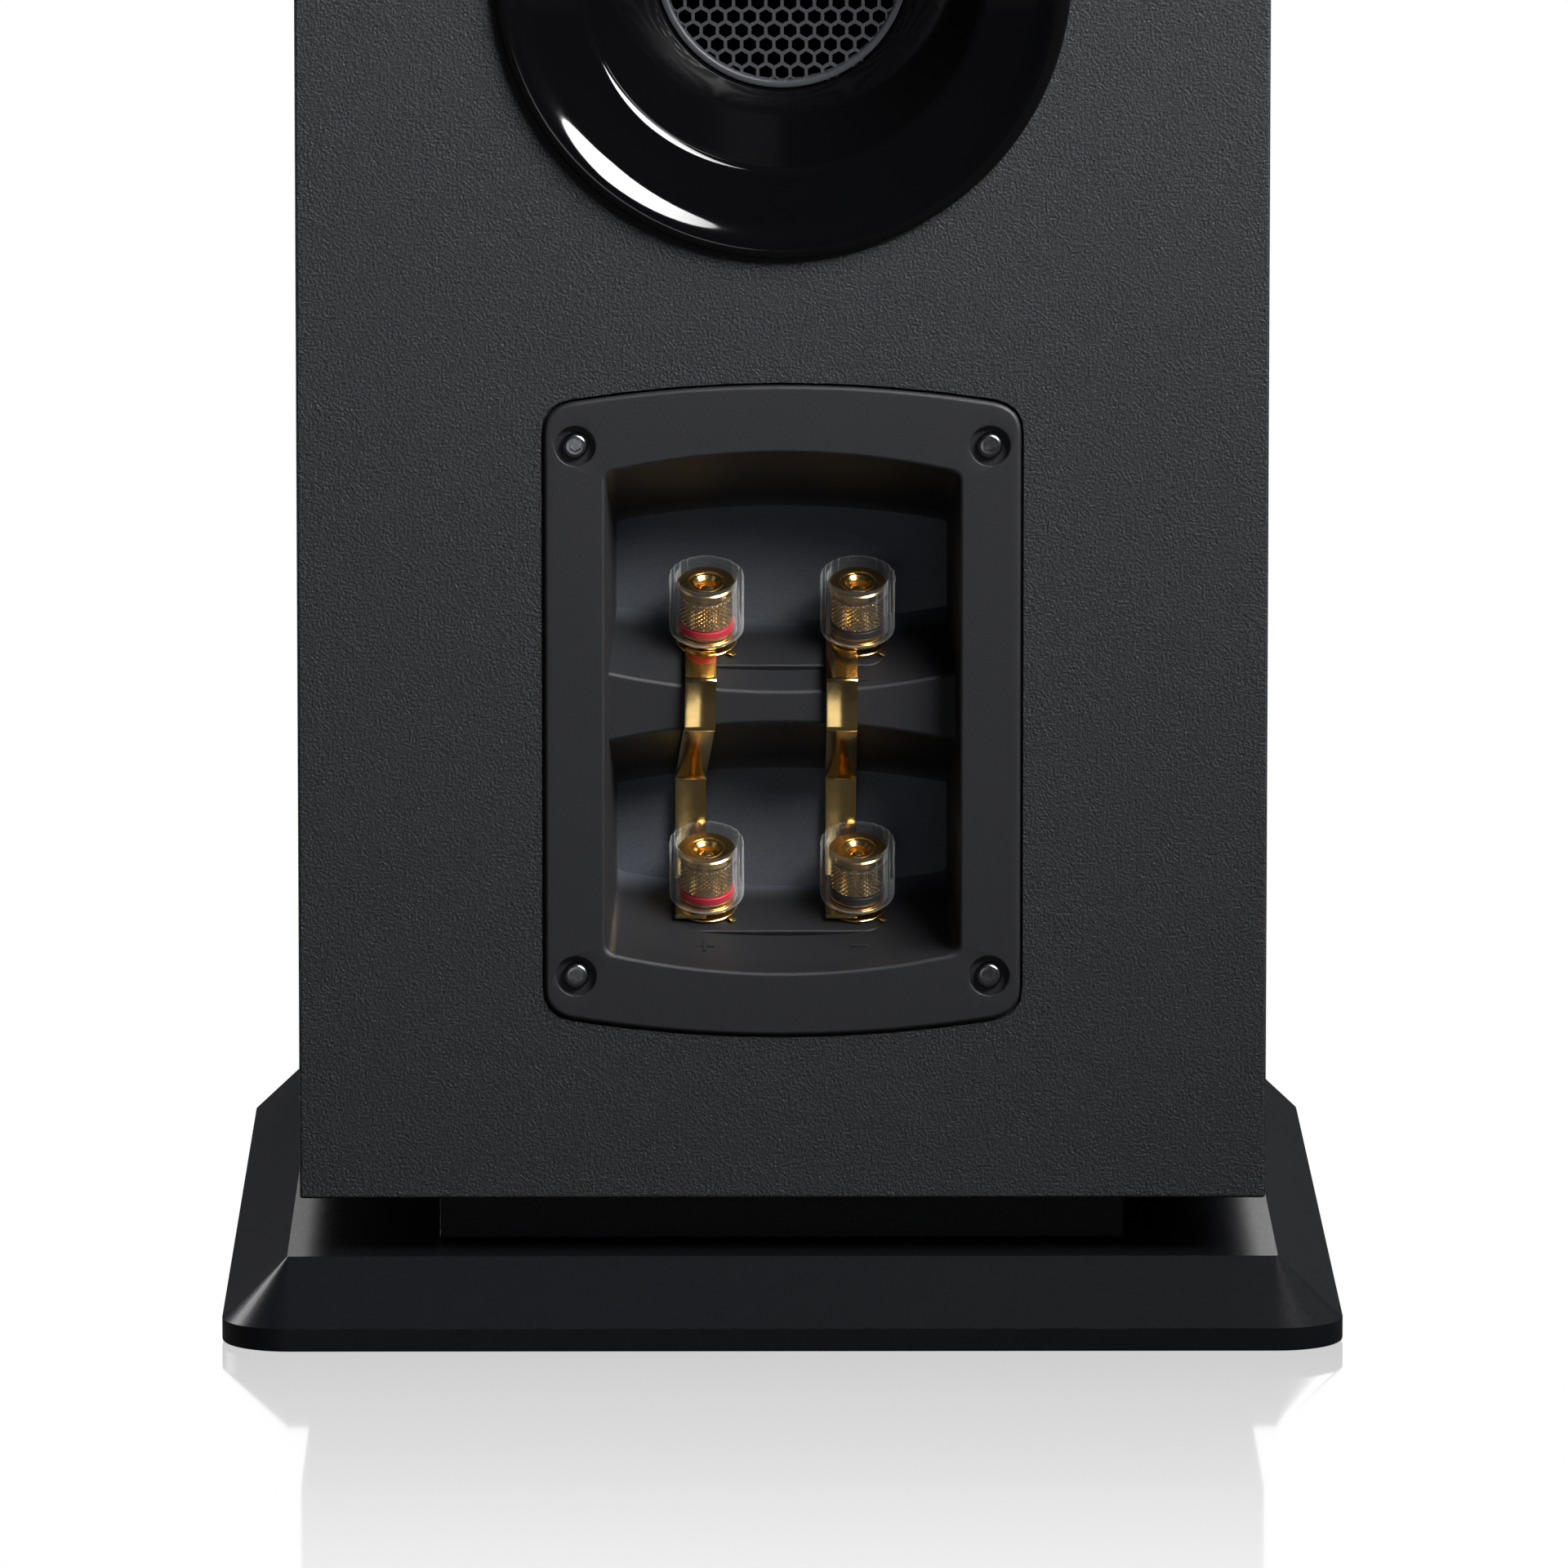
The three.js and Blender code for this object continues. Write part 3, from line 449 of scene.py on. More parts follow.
port_low, port_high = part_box("port_flare")
port_centre = Vector((0, rear, (port_low.z + port_high.z) / 2))
facing_rear = Matrix.Translation(port_centre) @ Matrix.Rotation(-math.pi / 2, 4, "X")


def make_port_flare():
    flange, crease, throat = 64, 45, 28.6
    crest, shelf = (61.8, 3.4), (56.5, 1.2)
    spigot = throat + 2.6
    profile = [(flange, 0.3), (flange, 1.4)]
    profile += curve_points((flange, 1.4), (flange, 2.6), (63, 3.4), crest, 8)
    profile += curve_points(crest, (60, 3.4), (58.2, 1.7), shelf, 16)
    profile += curve_points(shelf, (52.7, 0.1), (crease + 3.8, -1), (crease, -1.8), 12)
    profile += curve_points((crease - 0.3, -2.4), (39.3, -9), (throat + 5.3, -15.5),
                            (throat, -22), 20)
    profile += [(throat, -46), (spigot, -46), (spigot, -23)]
    profile += curve_points((spigot, -23), (spigot + 3, -15), (crease + 2, -9),
                            (crease + 2.6, -5), 8)
    profile += [(52, -3.4), (52.9, -2.6), (56.4, 0.3)]
    bm = spun(profile, 128, closed=True)
    bm.transform(facing_rear)
    return piece_from(bm, "port_trumpet", gloss_material, "cabinet", 50)


gloss_material = black_gloss_abs()
trumpet = make_port_flare()
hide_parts("port_flare")
refinish("port_tube", gloss_material)


# --- Port screen --------------------------------------------------------------------------
# Pressed steel honeycomb under dark grey powder coat, held in a thin rim. It keeps things
# from being pushed into the tube.
def colour_between(tree, share, low, high):
    """A colour between two hex colours."""
    mixed = add(tree, "ShaderNodeMix", {"data_type": "RGBA", 6: srgb(low), 7: srgb(high)},
                {0: share})
    return mixed.outputs[2]


def grey_powder_coat():
    # Thin powder coat on steel: dark grey, slightly pebbled, with a low sheen.
    material, tree = new_material("dark grey powder coat")
    pebble = grain_of(tree, 0.5, 2)
    surfaced(tree, {"Roughness": 0.45, "IOR": 1.5},
             {"Base Color": colour_between(tree, pebble, "232428", "35363a"),
              "Normal": bumped(tree, pebble, 0.3, 0.08)})
    return material


def make_port_screen():
    pitch = 3.6 * mm
    wall = 0.75 * mm
    rim_outer, rim_inner = 28.3, 26.4
    front = -21.5
    bm = spun([(rim_inner, front - 1.2), (rim_inner + 0.5, front), (rim_outer, front),
               (rim_outer, front - 3), (rim_inner, front - 3)], 96, closed=True)
    soften(bm, 0.25, 2)
    rim_faces = set(bm.faces)
    rows = int(rim_outer * mm / (pitch * 0.866)) + 1
    for row in range(-rows, rows + 1):
        for column in range(-rows, rows + 1):
            x = (column + (row % 2) / 2) * pitch
            y = row * pitch * math.sin(math.pi / 3)
            if math.hypot(x, y) > (rim_inner + 1.2) * mm:
                continue
            place = Matrix.Translation((x, y, (front - 1.6) * mm))
            bmesh.ops.create_circle(bm, cap_ends=True, radius=pitch / math.sqrt(3), segments=6,
                                    matrix=place)
    cells = [f for f in bm.faces if f not in rim_faces]
    net_verts = list({v for f in cells for v in f.verts})
    bmesh.ops.remove_doubles(bm, verts=net_verts, dist=0.05 * mm)
    cells = [f for f in bm.faces if f not in rim_faces]
    bmesh.ops.inset_individual(bm, faces=cells, thickness=wall / 2, use_even_offset=True)
    bmesh.ops.delete(bm, geom=cells, context="FACES")
    net = [f for f in bm.faces if f not in rim_faces]
    bmesh.ops.recalc_face_normals(bm, faces=net)
    bmesh.ops.solidify(bm, geom=net, thickness=0.9 * mm)
    bm.transform(facing_rear)
    return piece_from(bm, "honeycomb_screen", grey_powder_coat(), "cabinet", 40)


screen = make_port_screen()
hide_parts("port_screen")


# --- Terminal cup -------------------------------------------------------------------------
# One ABS moulding set flush in the rear panel: a bowed flange around a shared well, and two
# recesses whose floors slope up to the back, each with a raised pad for a pair of posts.
cup_low, cup_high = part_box("terminal_cup")
cup_z = (cup_low.z + cup_high.z) / 2
proud = (cup_high.y - rear) / mm


def satin_abs():
    # ABS from a spark-eroded mould: satin, with a fine even grain. The back walls of the recesses
    # are painted paler, with the grain showing stronger, as painted light that reaches into them.
    material, tree = new_material("moulded black ABS")
    erosion = grain_of(tree, 0.45, 2, Roughness=0.55)
    place = add(tree, "ShaderNodeTexCoord")
    depth = add(tree, "ShaderNodeSeparateXYZ", {}, {0: place.outputs["Object"]})
    # Painted light: from 28 mm to 34.5 mm behind the rear face the ABS turns paler towards the back
    # walls.
    inside = add(tree, "ShaderNodeMapRange",
                 {"From Min": rear - 28 * mm, "From Max": rear - 34.5 * mm},
                 {"Value": depth.outputs["Y"]})
    colour = add(tree, "ShaderNodeMix", {"data_type": "RGBA"},
                 {0: inside.outputs[0], 6: colour_between(tree, erosion, "0d0e11", "191a1e"),
                  7: colour_between(tree, erosion, "303339", "4e525a")})
    surfaced(tree, {"Roughness": 0.54, "IOR": 1.5},
             {"Base Color": colour.outputs[2], "Normal": bumped(tree, erosion, 0.3, 0.12)})
    return material


def slice_of(half, top, top_arc, bottom, bottom_arc, depth):
    """One slice through the cup, in millimetres: straight sides and bowed ends at a depth."""
    return {"half": half, "top": top, "top_arc": top_arc, "bottom": bottom,
            "bottom_arc": bottom_arc, "depth": depth}


def ends_at(cut, u):
    """The heights of a slice's floor and ceiling at a share of its half width."""
    return cut["bottom"] + cut["bottom_arc"] * u * u, cut["top"] - cut["top_arc"] * u * u


def spot(cut, u, v):
    """The point of a slice at shares of its half width and of its height."""
    floor, ceiling = ends_at(cut, u)
    return u * cut["half"], floor + v * (ceiling - floor)


def shares(cut, x, z):
    """The shares of a slice's half width and height at which a point lies."""
    u = x / cut["half"]
    floor, ceiling = ends_at(cut, u)
    return u, (z - floor) / (ceiling - floor)


def grown(cut, amount, depth):
    """A slice made larger all round by an amount, at a depth."""
    return cut | {"half": cut["half"] + amount, "top": cut["top"] + amount,
                  "bottom": cut["bottom"] - amount, "depth": depth}


def rounded_end(half, height, arc, corner):
    """Points over one bowed end from the left side to the right, with rounded corners."""
    steps = 20
    way = math.copysign(1, height)
    edge = 1 - corner / half
    side = height - way * arc
    start = (-half, side - way * corner)
    points = [start] + curve_points(start, (-half, side - way * corner / 3),
                                    (-half + corner / 3, side),
                                    (-edge * half, height - way * arc * edge * edge), 6)
    middle = [-edge + 2 * edge * i / steps for i in range(1, steps)]
    right = [(-x, z) for x, z in points[::-1]]
    return points + [(u * half, height - way * arc * u * u) for u in middle] + right


def loop_of(bm, points, depth):
    """A closed loop of edges in the plane at a depth behind the rear face."""
    verts = [bm.verts.new((x * mm, rear - depth * mm, cup_z + z * mm)) for x, z in points]
    return [bm.edges.new(pair) for pair in zip(verts, verts[1:] + verts[:1])]


def edges_at(verts):
    return list({e for v in verts for e in v.link_edges})


def pulled(bm, edges):
    """Extrudes edges in place and returns the new vertices and the new edges between them."""
    made = bmesh.ops.extrude_edge_only(bm, edges=edges)["geom"]
    fresh = {g for g in made if isinstance(g, bmesh.types.BMVert)}
    return fresh, [e for e in edges_at(fresh) if set(e.verts) <= fresh]


def extruded(bm, edges, place):
    """Extrudes edges, moves each new vertex to place(x, z) and returns the new edges."""
    fresh, fresh_edges = pulled(bm, edges)
    for vert in fresh:
        x, depth, z = place(vert.co.x / mm, (vert.co.z - cup_z) / mm)
        vert.co = (x * mm, rear - depth * mm, cup_z + z * mm)
    return fresh_edges


def sink(bm, edges, near, far):
    """Extrudes a loop of edges from one slice of the cup to another."""
    def place(x, z):
        across, up = spot(far, *shares(near, x, z))
        return across, far["depth"], up
    return extruded(bm, edges, place)


def arc_across(bm, left, right, half, height, arc, depth):
    """Edges along a bowed line between two vertices of the well."""
    steps = 24
    row = [left]
    for i in range(1, steps):
        u = -1 + 2 * i / steps
        bowed = cup_z + (height + arc * u * u) * mm
        row.append(bm.verts.new((u * half * mm, rear - depth * mm, bowed)))
    row.append(right)
    return [bm.edges.new(pair) for pair in zip(row, row[1:])]


def turned_outward(bm, is_front):
    """Recalculates normals, with the faces picked by is_front turned towards the rear."""
    bmesh.ops.recalc_face_normals(bm, faces=bm.faces)
    front = max((f for f in bm.faces if is_front(f)), key=lambda f: f.calc_area())
    if front.normal.y < 0:
        bmesh.ops.reverse_faces(bm, faces=bm.faces)


screw_spots = [(x, z) for x in (46.05, -46.05) for z in (59.6, -59.6)]
well_depth = 9.5
back_depth = 35
bar_top, bar_bottom, bar_arc = 3, -4, 4.2
mouth = slice_of(39.3, 57.8, 4.6, -58.8, 4.6, 0)
back_half = 37
share = well_depth / back_depth
well_end = slice_of(mouth["half"] + (back_half - mouth["half"]) * share,
                    mouth["top"] + (41.5 - mouth["top"]) * share, 4.6, -57.1, 4.6, well_depth)
upper_near = well_end | {"bottom": bar_top, "bottom_arc": bar_arc}
upper_far = slice_of(back_half, 41.5, 3.4, 15.3, 3.4, back_depth)
lower_near = well_end | {"top": bar_bottom, "top_arc": bar_arc}
lower_far = slice_of(back_half, -18, 3.4, -44.9, 3.4, back_depth)


def make_cup_shell():
    edge_round, lip_round, wall = 0.9, 1.0, 1.1
    flange_half, flange_top, flange_bow, flange_corner = 53, 73.1, 4.8, 6
    bar_sides = (bar_bottom - bar_arc, bar_top + bar_arc)
    lip = grown(mouth, lip_round, -proud)
    marks = [spot(lip, 1, shares(well_end, well_end["half"], z)[1])[1] for z in bar_sides]
    bm = bmesh.new()

    # Flange: its rounded outer edge, then its flat front with the mouth and four screw holes.
    def flange_loop(shrink):
        top, bottom = (rounded_end(flange_half - shrink, height, flange_bow, flange_corner - shrink)
                       for height in (flange_top - shrink, shrink - flange_top))
        return top + bottom[::-1]

    outer = loop_of(bm, flange_loop(0), 2.2)
    quarter = [math.radians(a) for a in (0, 22.5, 45, 67.5, 90)]
    rings = [(edge_round * (1 - math.cos(a)), -proud + edge_round * (1 - math.sin(a)))
             for a in quarter]
    outer_points = flange_loop(0)
    for shrink, depth in rings:
        next_points = flange_loop(shrink)
        targets = {(round(x, 3), round(z, 3)): point
                   for (x, z), point in zip(outer_points, next_points)}

        def step_in(x, z, depth=depth, targets=targets):
            across, up = targets[(round(x, 3), round(z, 3))]
            return across, depth, up

        outer = extruded(bm, outer, step_in)
        outer_points = next_points
    top = rounded_end(lip["half"], lip["top"], 4.6, 2.2)
    bottom = rounded_end(lip["half"], lip["bottom"], 4.6, 2.2)
    rim_points = (top + [(lip["half"], z) for z in marks[::-1]] + bottom[::-1]
                  + [(-lip["half"], z) for z in marks])
    rim = loop_of(bm, rim_points, -proud)
    circles = []
    for x, z in screw_spots:
        place = Matrix.Translation((x * mm, rear + proud * mm, cup_z + z * mm))
        ring = bmesh.ops.create_circle(bm, cap_ends=False, radius=4.7 * mm, segments=40,
                                       matrix=place @ Matrix.Rotation(math.pi / 2, 4, "X"))
        circles.append(edges_at(ring["verts"]))
    bmesh.ops.triangle_fill(bm, use_beauty=True, normal=(0, 1, 0),
                            edges=outer + rim + [e for ring in circles for e in ring])

    # Well: the rounded lip, the tapering sides, the bar and the two recesses behind it.
    near = lip
    for angle in quarter[1:]:
        cut = grown(mouth, lip_round * (1 - math.sin(angle)),
                    -proud + lip_round * (1 - math.cos(angle)))
        rim = sink(bm, rim, near, cut)
        near = cut
    rim = sink(bm, rim, near, well_end)
    verts = {v for e in rim for v in e.verts}

    def well_vert(x, z):
        target = Vector((x * mm, rear - well_depth * mm, cup_z + z * mm))
        return min(verts, key=lambda v: (v.co - target).length)

    half = well_end["half"]
    low, high = bar_sides
    over, under = (arc_across(bm, well_vert(-half, side), well_vert(half, side), half, height, arc,
                              well_depth)
                   for side, height, arc in ((high, bar_top, bar_arc), (low, bar_bottom, -bar_arc)))
    reach = 0.05
    upper = [e for e in rim if all((v.co.z - cup_z) / mm > high - reach for v in e.verts)]
    lower = [e for e in rim if all((v.co.z - cup_z) / mm < low + reach for v in e.verts)]
    beside = [e for e in rim if e not in upper and e not in lower]
    bmesh.ops.edgeloop_fill(bm, edges=over + under + beside)
    bmesh.ops.edgeloop_fill(bm, edges=sink(bm, upper + over, upper_near, upper_far))
    bmesh.ops.edgeloop_fill(bm, edges=sink(bm, lower + under, lower_near, lower_far))
    bar_edges = [e for e in over + under if e.is_valid and len(e.link_faces) == 2]
    rounded(bm, bar_edges, 0.7 * mm, 4)
    for ring, (x0, z0) in zip(circles, screw_spots):
        for radius, depth in ((4.5, -proud + 0.15), (4.4, -proud + 0.45), (4.4, 1.35)):
            def place(x, z, radius=radius, depth=depth, x0=x0, z0=z0):
                away = Vector((x - x0, z - z0)).normalized() * radius
                return x0 + away.x, depth, z0 + away.y
            ring = extruded(bm, ring, place)
        bmesh.ops.edgeloop_fill(bm, edges=ring)
    turned_outward(bm, lambda f: abs(f.calc_center_median().y - rear - proud * mm) < 0.01 * mm)
    bmesh.ops.solidify(bm, geom=bm.faces, thickness=wall * mm)
    return bm


def join(bm, other):
    """Adds another bmesh's shells to a bmesh."""
    scratch = bpy.data.meshes.new("scratch")
    other.to_mesh(scratch)
    other.free()
    bm.from_mesh(scratch)
    bpy.data.meshes.remove(scratch)


def make_pad(bm, row_joint):
    """A raised pad with rounded front corners, square to the posts that stand on it."""
    half, front, back, deep, corner = 23, 9.5, 7.5, 3.4, 4.5
    place, axis = Vector(row_joint["pos_m"]), Vector(row_joint["axis"])
    tilt = Vector((0, 0, 1)).rotation_difference(axis).to_matrix().to_4x4()
    slab = bmesh.new()
    bmesh.ops.create_grid(slab, x_segments=1, y_segments=1, size=1)
    bmesh.ops.scale(slab, verts=slab.verts, vec=(half * mm, (front + back) / 2 * mm, 1))
    bmesh.ops.translate(slab, verts=slab.verts, vec=(0, (front - back) / 2 * mm, 0))
    rounded(slab, [v for v in slab.verts if v.co.y > 0], corner * mm, 8, "VERTICES")
    top = raised(slab, slab.faces[:][0])
    bmesh.ops.translate(slab, verts=[v for v in slab.verts if v not in top.verts],
                        vec=(0, 0, -deep * mm))
    bmesh.ops.recalc_face_normals(slab, faces=slab.faces)
    rounded(slab, top.edges, 0.45 * mm, 3)
    slab.transform(Matrix.Translation((0, place.y, place.z)) @ tilt)
    join(bm, slab)


def make_polarity_mark(bm, x, near, far, height_share, upright):
    """A small raised plus or minus sign on the floor of a recess."""
    long_side, thin, tall = 4.4, 0.7, 0.7
    depth = near["depth"] + (far["depth"] - near["depth"]) * height_share
    low = near["bottom"] + (far["bottom"] - near["bottom"]) * height_share
    arc = near["bottom_arc"] + (far["bottom_arc"] - near["bottom_arc"]) * height_share
    floor_z = low + arc * (x / near["half"]) ** 2
    slope = math.atan2(far["bottom"] - near["bottom"], far["depth"] - near["depth"])
    place = Matrix.Translation((x * mm, rear - depth * mm, cup_z + floor_z * mm))
    place = place @ Matrix.Rotation(-slope, 4, "X")
    sizes = [(long_side, thin, tall)] + ([(thin, long_side, tall)] if upright else [])
    for size in sizes:
        cube = bmesh.ops.create_cube(bm, size=mm, matrix=place @ Matrix.Diagonal((*size, 1)))
        rounded(bm, edges_at(cube["verts"]), 0.12 * mm, 2)


joints = {joint["name"]: joint for joint in frame["joints"]}
cup_bm = make_cup_shell()
for row in ("upper", "lower"):
    make_pad(cup_bm, joints[f"knob_turn_{row}_left"])
for near, far in ((upper_near, upper_far), (lower_near, lower_far)):
    make_polarity_mark(cup_bm, 17.4, near, far, 0.1, True)
    make_polarity_mark(cup_bm, -17.4, near, far, 0.1, False)
cup_material = satin_abs()
cup = evened(piece_from(cup_bm, "moulded_cup", cup_material, "cabinet", 40))
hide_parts("terminal_cup")


# --- Cup screws ---------------------------------------------------------------------------
# Four M3.5 button-head screws of blackened steel with hex sockets, sunk in counterbores. The
# sockets' worn edges shine.
def blackened_steel():
    # Black oxide worn back to bright steel: grey metal, satin, a little blotchy.
    material, tree = new_material("blackened steel")
    blotch = grain_of(tree, 0.8, 3)
    surfaced(tree, {"Base Color": srgb("8c8d92"), "Metallic": 1.0},
             {"Roughness": between(tree, blotch, 0.16, 0.32)})
    return material


def make_screw(head_radius, head_height, key_radius, shank_radius, length):
    """A button-head screw about Z with the underside of its head at zero."""
    crown = head_radius * 0.66
    profile = [(0.01, -length), (shank_radius * 0.5, -length), (shank_radius, 1.5 - length),
               (shank_radius, 0), (head_radius, 0), (head_radius, head_height * 0.25)]
    profile += curve_points(profile[-1], (head_radius, head_height * 0.7),
                            (crown + 0.5, head_height), (crown, head_height), 8)
    bm = spun(profile, 36)
    rim = [e for e in bm.edges if e.is_boundary and e.verts[0].co.z > 0]
    key = bmesh.ops.create_circle(bm, cap_ends=False, radius=key_radius * mm, segments=6,
                                  matrix=Matrix.Translation((0, 0, head_height * mm)))
    socket = edges_at(key["verts"])
    bmesh.ops.triangle_fill(bm, use_beauty=True, normal=(0, 0, 1), edges=rim + socket)
    fresh, floor = pulled(bm, socket)
    bmesh.ops.translate(bm, verts=list(fresh), vec=(0, 0, -head_height * 0.75 * mm))
    bmesh.ops.edgeloop_fill(bm, edges=floor)
    bmesh.ops.edgeloop_fill(bm, edges=[e for e in bm.edges if e.is_boundary])
    bmesh.ops.recalc_face_normals(bm, faces=bm.faces)
    return bm


steel_material = blackened_steel()
for node in ("cup_screw_upper_left", "cup_screw_upper_right",
             "cup_screw_lower_left", "cup_screw_lower_right"):
    low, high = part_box(node)
    centre = (low + high) / 2
    bm = make_screw(2.9, 2.0, 1.45, 1.7, 12.4)
    bm.transform(Matrix.Translation((centre.x, rear - 1.3 * mm, centre.z))
                 @ Matrix.Rotation(-math.pi / 2, 4, "X"))
    screw = piece_from(bm, node.replace("cup_screw", "button_screw"), steel_material, "cabinet", 35)
    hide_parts(node)


# --- Binding posts ------------------------------------------------------------------------
# Brass posts turned and knurled, then gold plated. A stud with a collar stands on the pad, a
# washer rides on it, and the knob is a knurled core in a clear acrylic sleeve with a colour
# ring. The knobs clamp bare cable or spade lugs against the washer.
def gold_plate(name, rough_low, rough_high):
    # Gold over nickel on brass: a warm metal with faint polishing marks.
    material, tree = new_material(name)
    marks = grain_of(tree, 1.6, 4)
    surfaced(tree, {"Base Color": srgb("ecca86"), "Metallic": 1.0},
             {"Roughness": between(tree, marks, rough_low, rough_high),
              "Normal": bumped(tree, marks, 0.12, 0.06)})
    return material


def clear_acrylic():
    # Injection-moulded PMMA: clear face-on. Its rim and edges carry a painted highlight: seen
    # edge-on they turn opaque and whitish.
    material, tree = new_material("clear acrylic")
    flow = grain_of(tree, 3, 1)
    # Painted highlight: the whitish body shows more, and grows more opaque, the more edge-on the
    # surface is seen.
    edge = add(tree, "ShaderNodeLayerWeight", {"Blend": 0.35})
    body = add(tree, "ShaderNodeMapRange", {"From Min": 0.36, "To Min": 0.02, "To Max": 0.85},
               {"Value": edge.outputs["Facing"]})
    surfaced(tree, {"Base Color": srgb("dfe2e5"), "Roughness": 0.06, "IOR": 1.49},
             {"Alpha": body.outputs[0], "Normal": bumped(tree, flow, 0.05, 0.05)})
    return material


def dyed_plastic(name, colour):
    # Dyed ABS, moulded with a soft sheen.
    material, tree = new_material(name)
    flow = grain_of(tree, 1.5, 2)
    surfaced(tree, {"Base Color": srgb(colour), "IOR": 1.53},
             {"Roughness": between(tree, flow, 0.3, 0.42)})
    return material


stud_radius, core_radius, ring_radius, washer_radius = 2, 5.9, 6.2, 6.9
knob_bottom = 3.7
knob_top = knob_bottom + 12.4
ring_bottom, ring_top = 4.4, 6.2
neck_bottom, neck_top = knob_top - 3, knob_top - 1.8
sleeve_radius, sleeve_inner, sleeve_top = 8.4, 6.9, knob_bottom + 14.2


def make_stud():
    """The stud with its collar, threads and domed end, and a small tab that stops it turning."""
    collar, top = 6.8, 13.2
    profile = [(0.01, -12), (1.6, -12), (stud_radius, -11.5), (stud_radius, 0.3),
               (collar - 0.15, 0.3), (collar, 0.42), (collar, 0.68), (collar - 0.15, 0.8),
               (stud_radius, 0.8)]
    pitch, depth = 0.75, 0.16
    turns = int((top - 2) / pitch)
    for i in range(turns):
        start = 1.4 + i * pitch
        profile += [(stud_radius, start), (stud_radius - depth, start + pitch / 2)]
    profile += curve_points((stud_radius, top), (stud_radius, top + 1.1), (1.2, top + 1.7),
                            (0.01, top + 1.7), 8)
    bm = spun(profile, 48)
    for edges in ([e for e in bm.edges if e.is_boundary and e.verts[0].co.z < 0],
                  [e for e in bm.edges if e.is_boundary and e.verts[0].co.z > 0]):
        bmesh.ops.edgeloop_fill(bm, edges=edges)
    bmesh.ops.recalc_face_normals(bm, faces=bm.faces)
    place = (Matrix.Rotation(math.radians(135), 4, "Z")
             @ Matrix.Translation((7.4 * mm, 0, 0.58 * mm)) @ Matrix.Diagonal((3.0, 1.3, 0.35, 1)))
    tab = bmesh.ops.create_cube(bm, size=mm, matrix=place)
    rounded(bm, edges_at(tab["verts"]), 0.1 * mm, 2)
    return bm


def make_washer():
    bore, low, high = stud_radius + 0.3, 2.4, 3.4
    bm = spun([(bore, low), (washer_radius, low), (washer_radius, high), (bore, high)], 64,
              closed=True)
    soften(bm, 0.2)
    return bm


def make_core():
    """The knurled core: its disc has a turned groove, a raised ring and a hole for the stud."""
    seat, bore, disc = ring_radius - 0.9, 2.25, 6.45
    knurl_rows = 34
    knurl_from, knurl_to = ring_top + 0.45, neck_bottom - 0.25
    profile = [(bore, knob_bottom), (core_radius - 0.2, knob_bottom),
               (core_radius, knob_bottom + 0.15), (core_radius, ring_bottom - 0.15),
               (seat, ring_bottom - 0.15), (seat, ring_top + 0.15),
               (core_radius - 0.25, ring_top + 0.15), (core_radius - 0.1, ring_top + 0.3)]
    profile += [(core_radius - 0.1, knurl_from + (knurl_to - knurl_from) * i / knurl_rows)
                for i in range(knurl_rows + 1)]
    profile += [(core_radius - 0.35, neck_bottom), (core_radius - 1, neck_bottom),
                (core_radius - 1, neck_top), (disc - 0.15, neck_top), (disc, neck_top + 0.15),
                (disc, knob_top - 0.3), (disc - 0.3, knob_top), (4.2, knob_top),
                (4.1, knob_top - 0.3),
                (3.7, knob_top - 0.3), (3.6, knob_top - 0.1), (3.0, knob_top - 0.1),
                (2.8, knob_top - 0.3), (bore, knob_top - 0.9)]
    bm = spun(profile, 180, closed=True)
    teeth = 30
    lead = teeth / core_radius * 1.15
    for vert in bm.verts:
        height = vert.co.z / mm
        radius = math.hypot(vert.co.x, vert.co.y) / mm
        if knurl_from - 0.01 < height < knurl_to + 0.01 and radius > core_radius - 0.3:
            turn = math.atan2(vert.co.y, vert.co.x) * teeth / 2
            climb = (height - knurl_from) * lead / 2
            ridge = min(abs(math.sin(turn + climb)), abs(math.sin(turn - climb)))
            size = 1 + (0.32 * ridge - 0.2) / radius
            vert.co.x *= size
            vert.co.y *= size
    return bm


def make_colour_ring():
    inner = ring_radius - 0.75
    bm = spun([(inner, ring_bottom), (ring_radius, ring_bottom), (ring_radius, ring_top),
               (inner, ring_top)], 72, closed=True)
    soften(bm, 0.2)
    return bm


def make_sleeve():
    """The clear sleeve, with a rim of small scallops that run half way down its outside."""
    flutes, flute_depth, fade_from, fade_to = 22, 0.42, 9.2, 11.2
    rows = 14
    lip_inner = core_radius - 0.75
    outside = [(sleeve_radius, knob_bottom + 0.5 + (sleeve_top - knob_bottom - 0.8) * i / rows)
               for i in range(rows + 1)]
    profile = [(sleeve_inner, knob_bottom + 0.1), (sleeve_inner + 0.1, knob_bottom),
               (sleeve_radius - 0.5, knob_bottom), (sleeve_radius - 0.12, knob_bottom + 0.15)]
    profile += outside
    profile += [(sleeve_radius - 0.1, sleeve_top - 0.08), (sleeve_radius - 0.4, sleeve_top),
                (sleeve_inner + 0.2, sleeve_top), (sleeve_inner, sleeve_top - 0.2),
                (sleeve_inner, neck_top - 0.2), (lip_inner, neck_top - 0.2),
                (lip_inner, neck_bottom + 0.25), (sleeve_inner, neck_bottom + 0.25)]
    bm = spun(profile, flutes * 10, closed=True)
    for vert in bm.verts:
        height = vert.co.z / mm
        radius = math.hypot(vert.co.x, vert.co.y) / mm
        depth = flute_depth * min(1, max(0, (height - fade_from) / (fade_to - fade_from)))
        if radius > sleeve_inner + 0.5 and depth > 0:
            wave = abs(math.cos(math.atan2(vert.co.y, vert.co.x) * flutes / 2)) ** 0.7
            size = 1 - depth * (1 - wave) / radius
            vert.co.x *= size
            vert.co.y *= size
    return bm


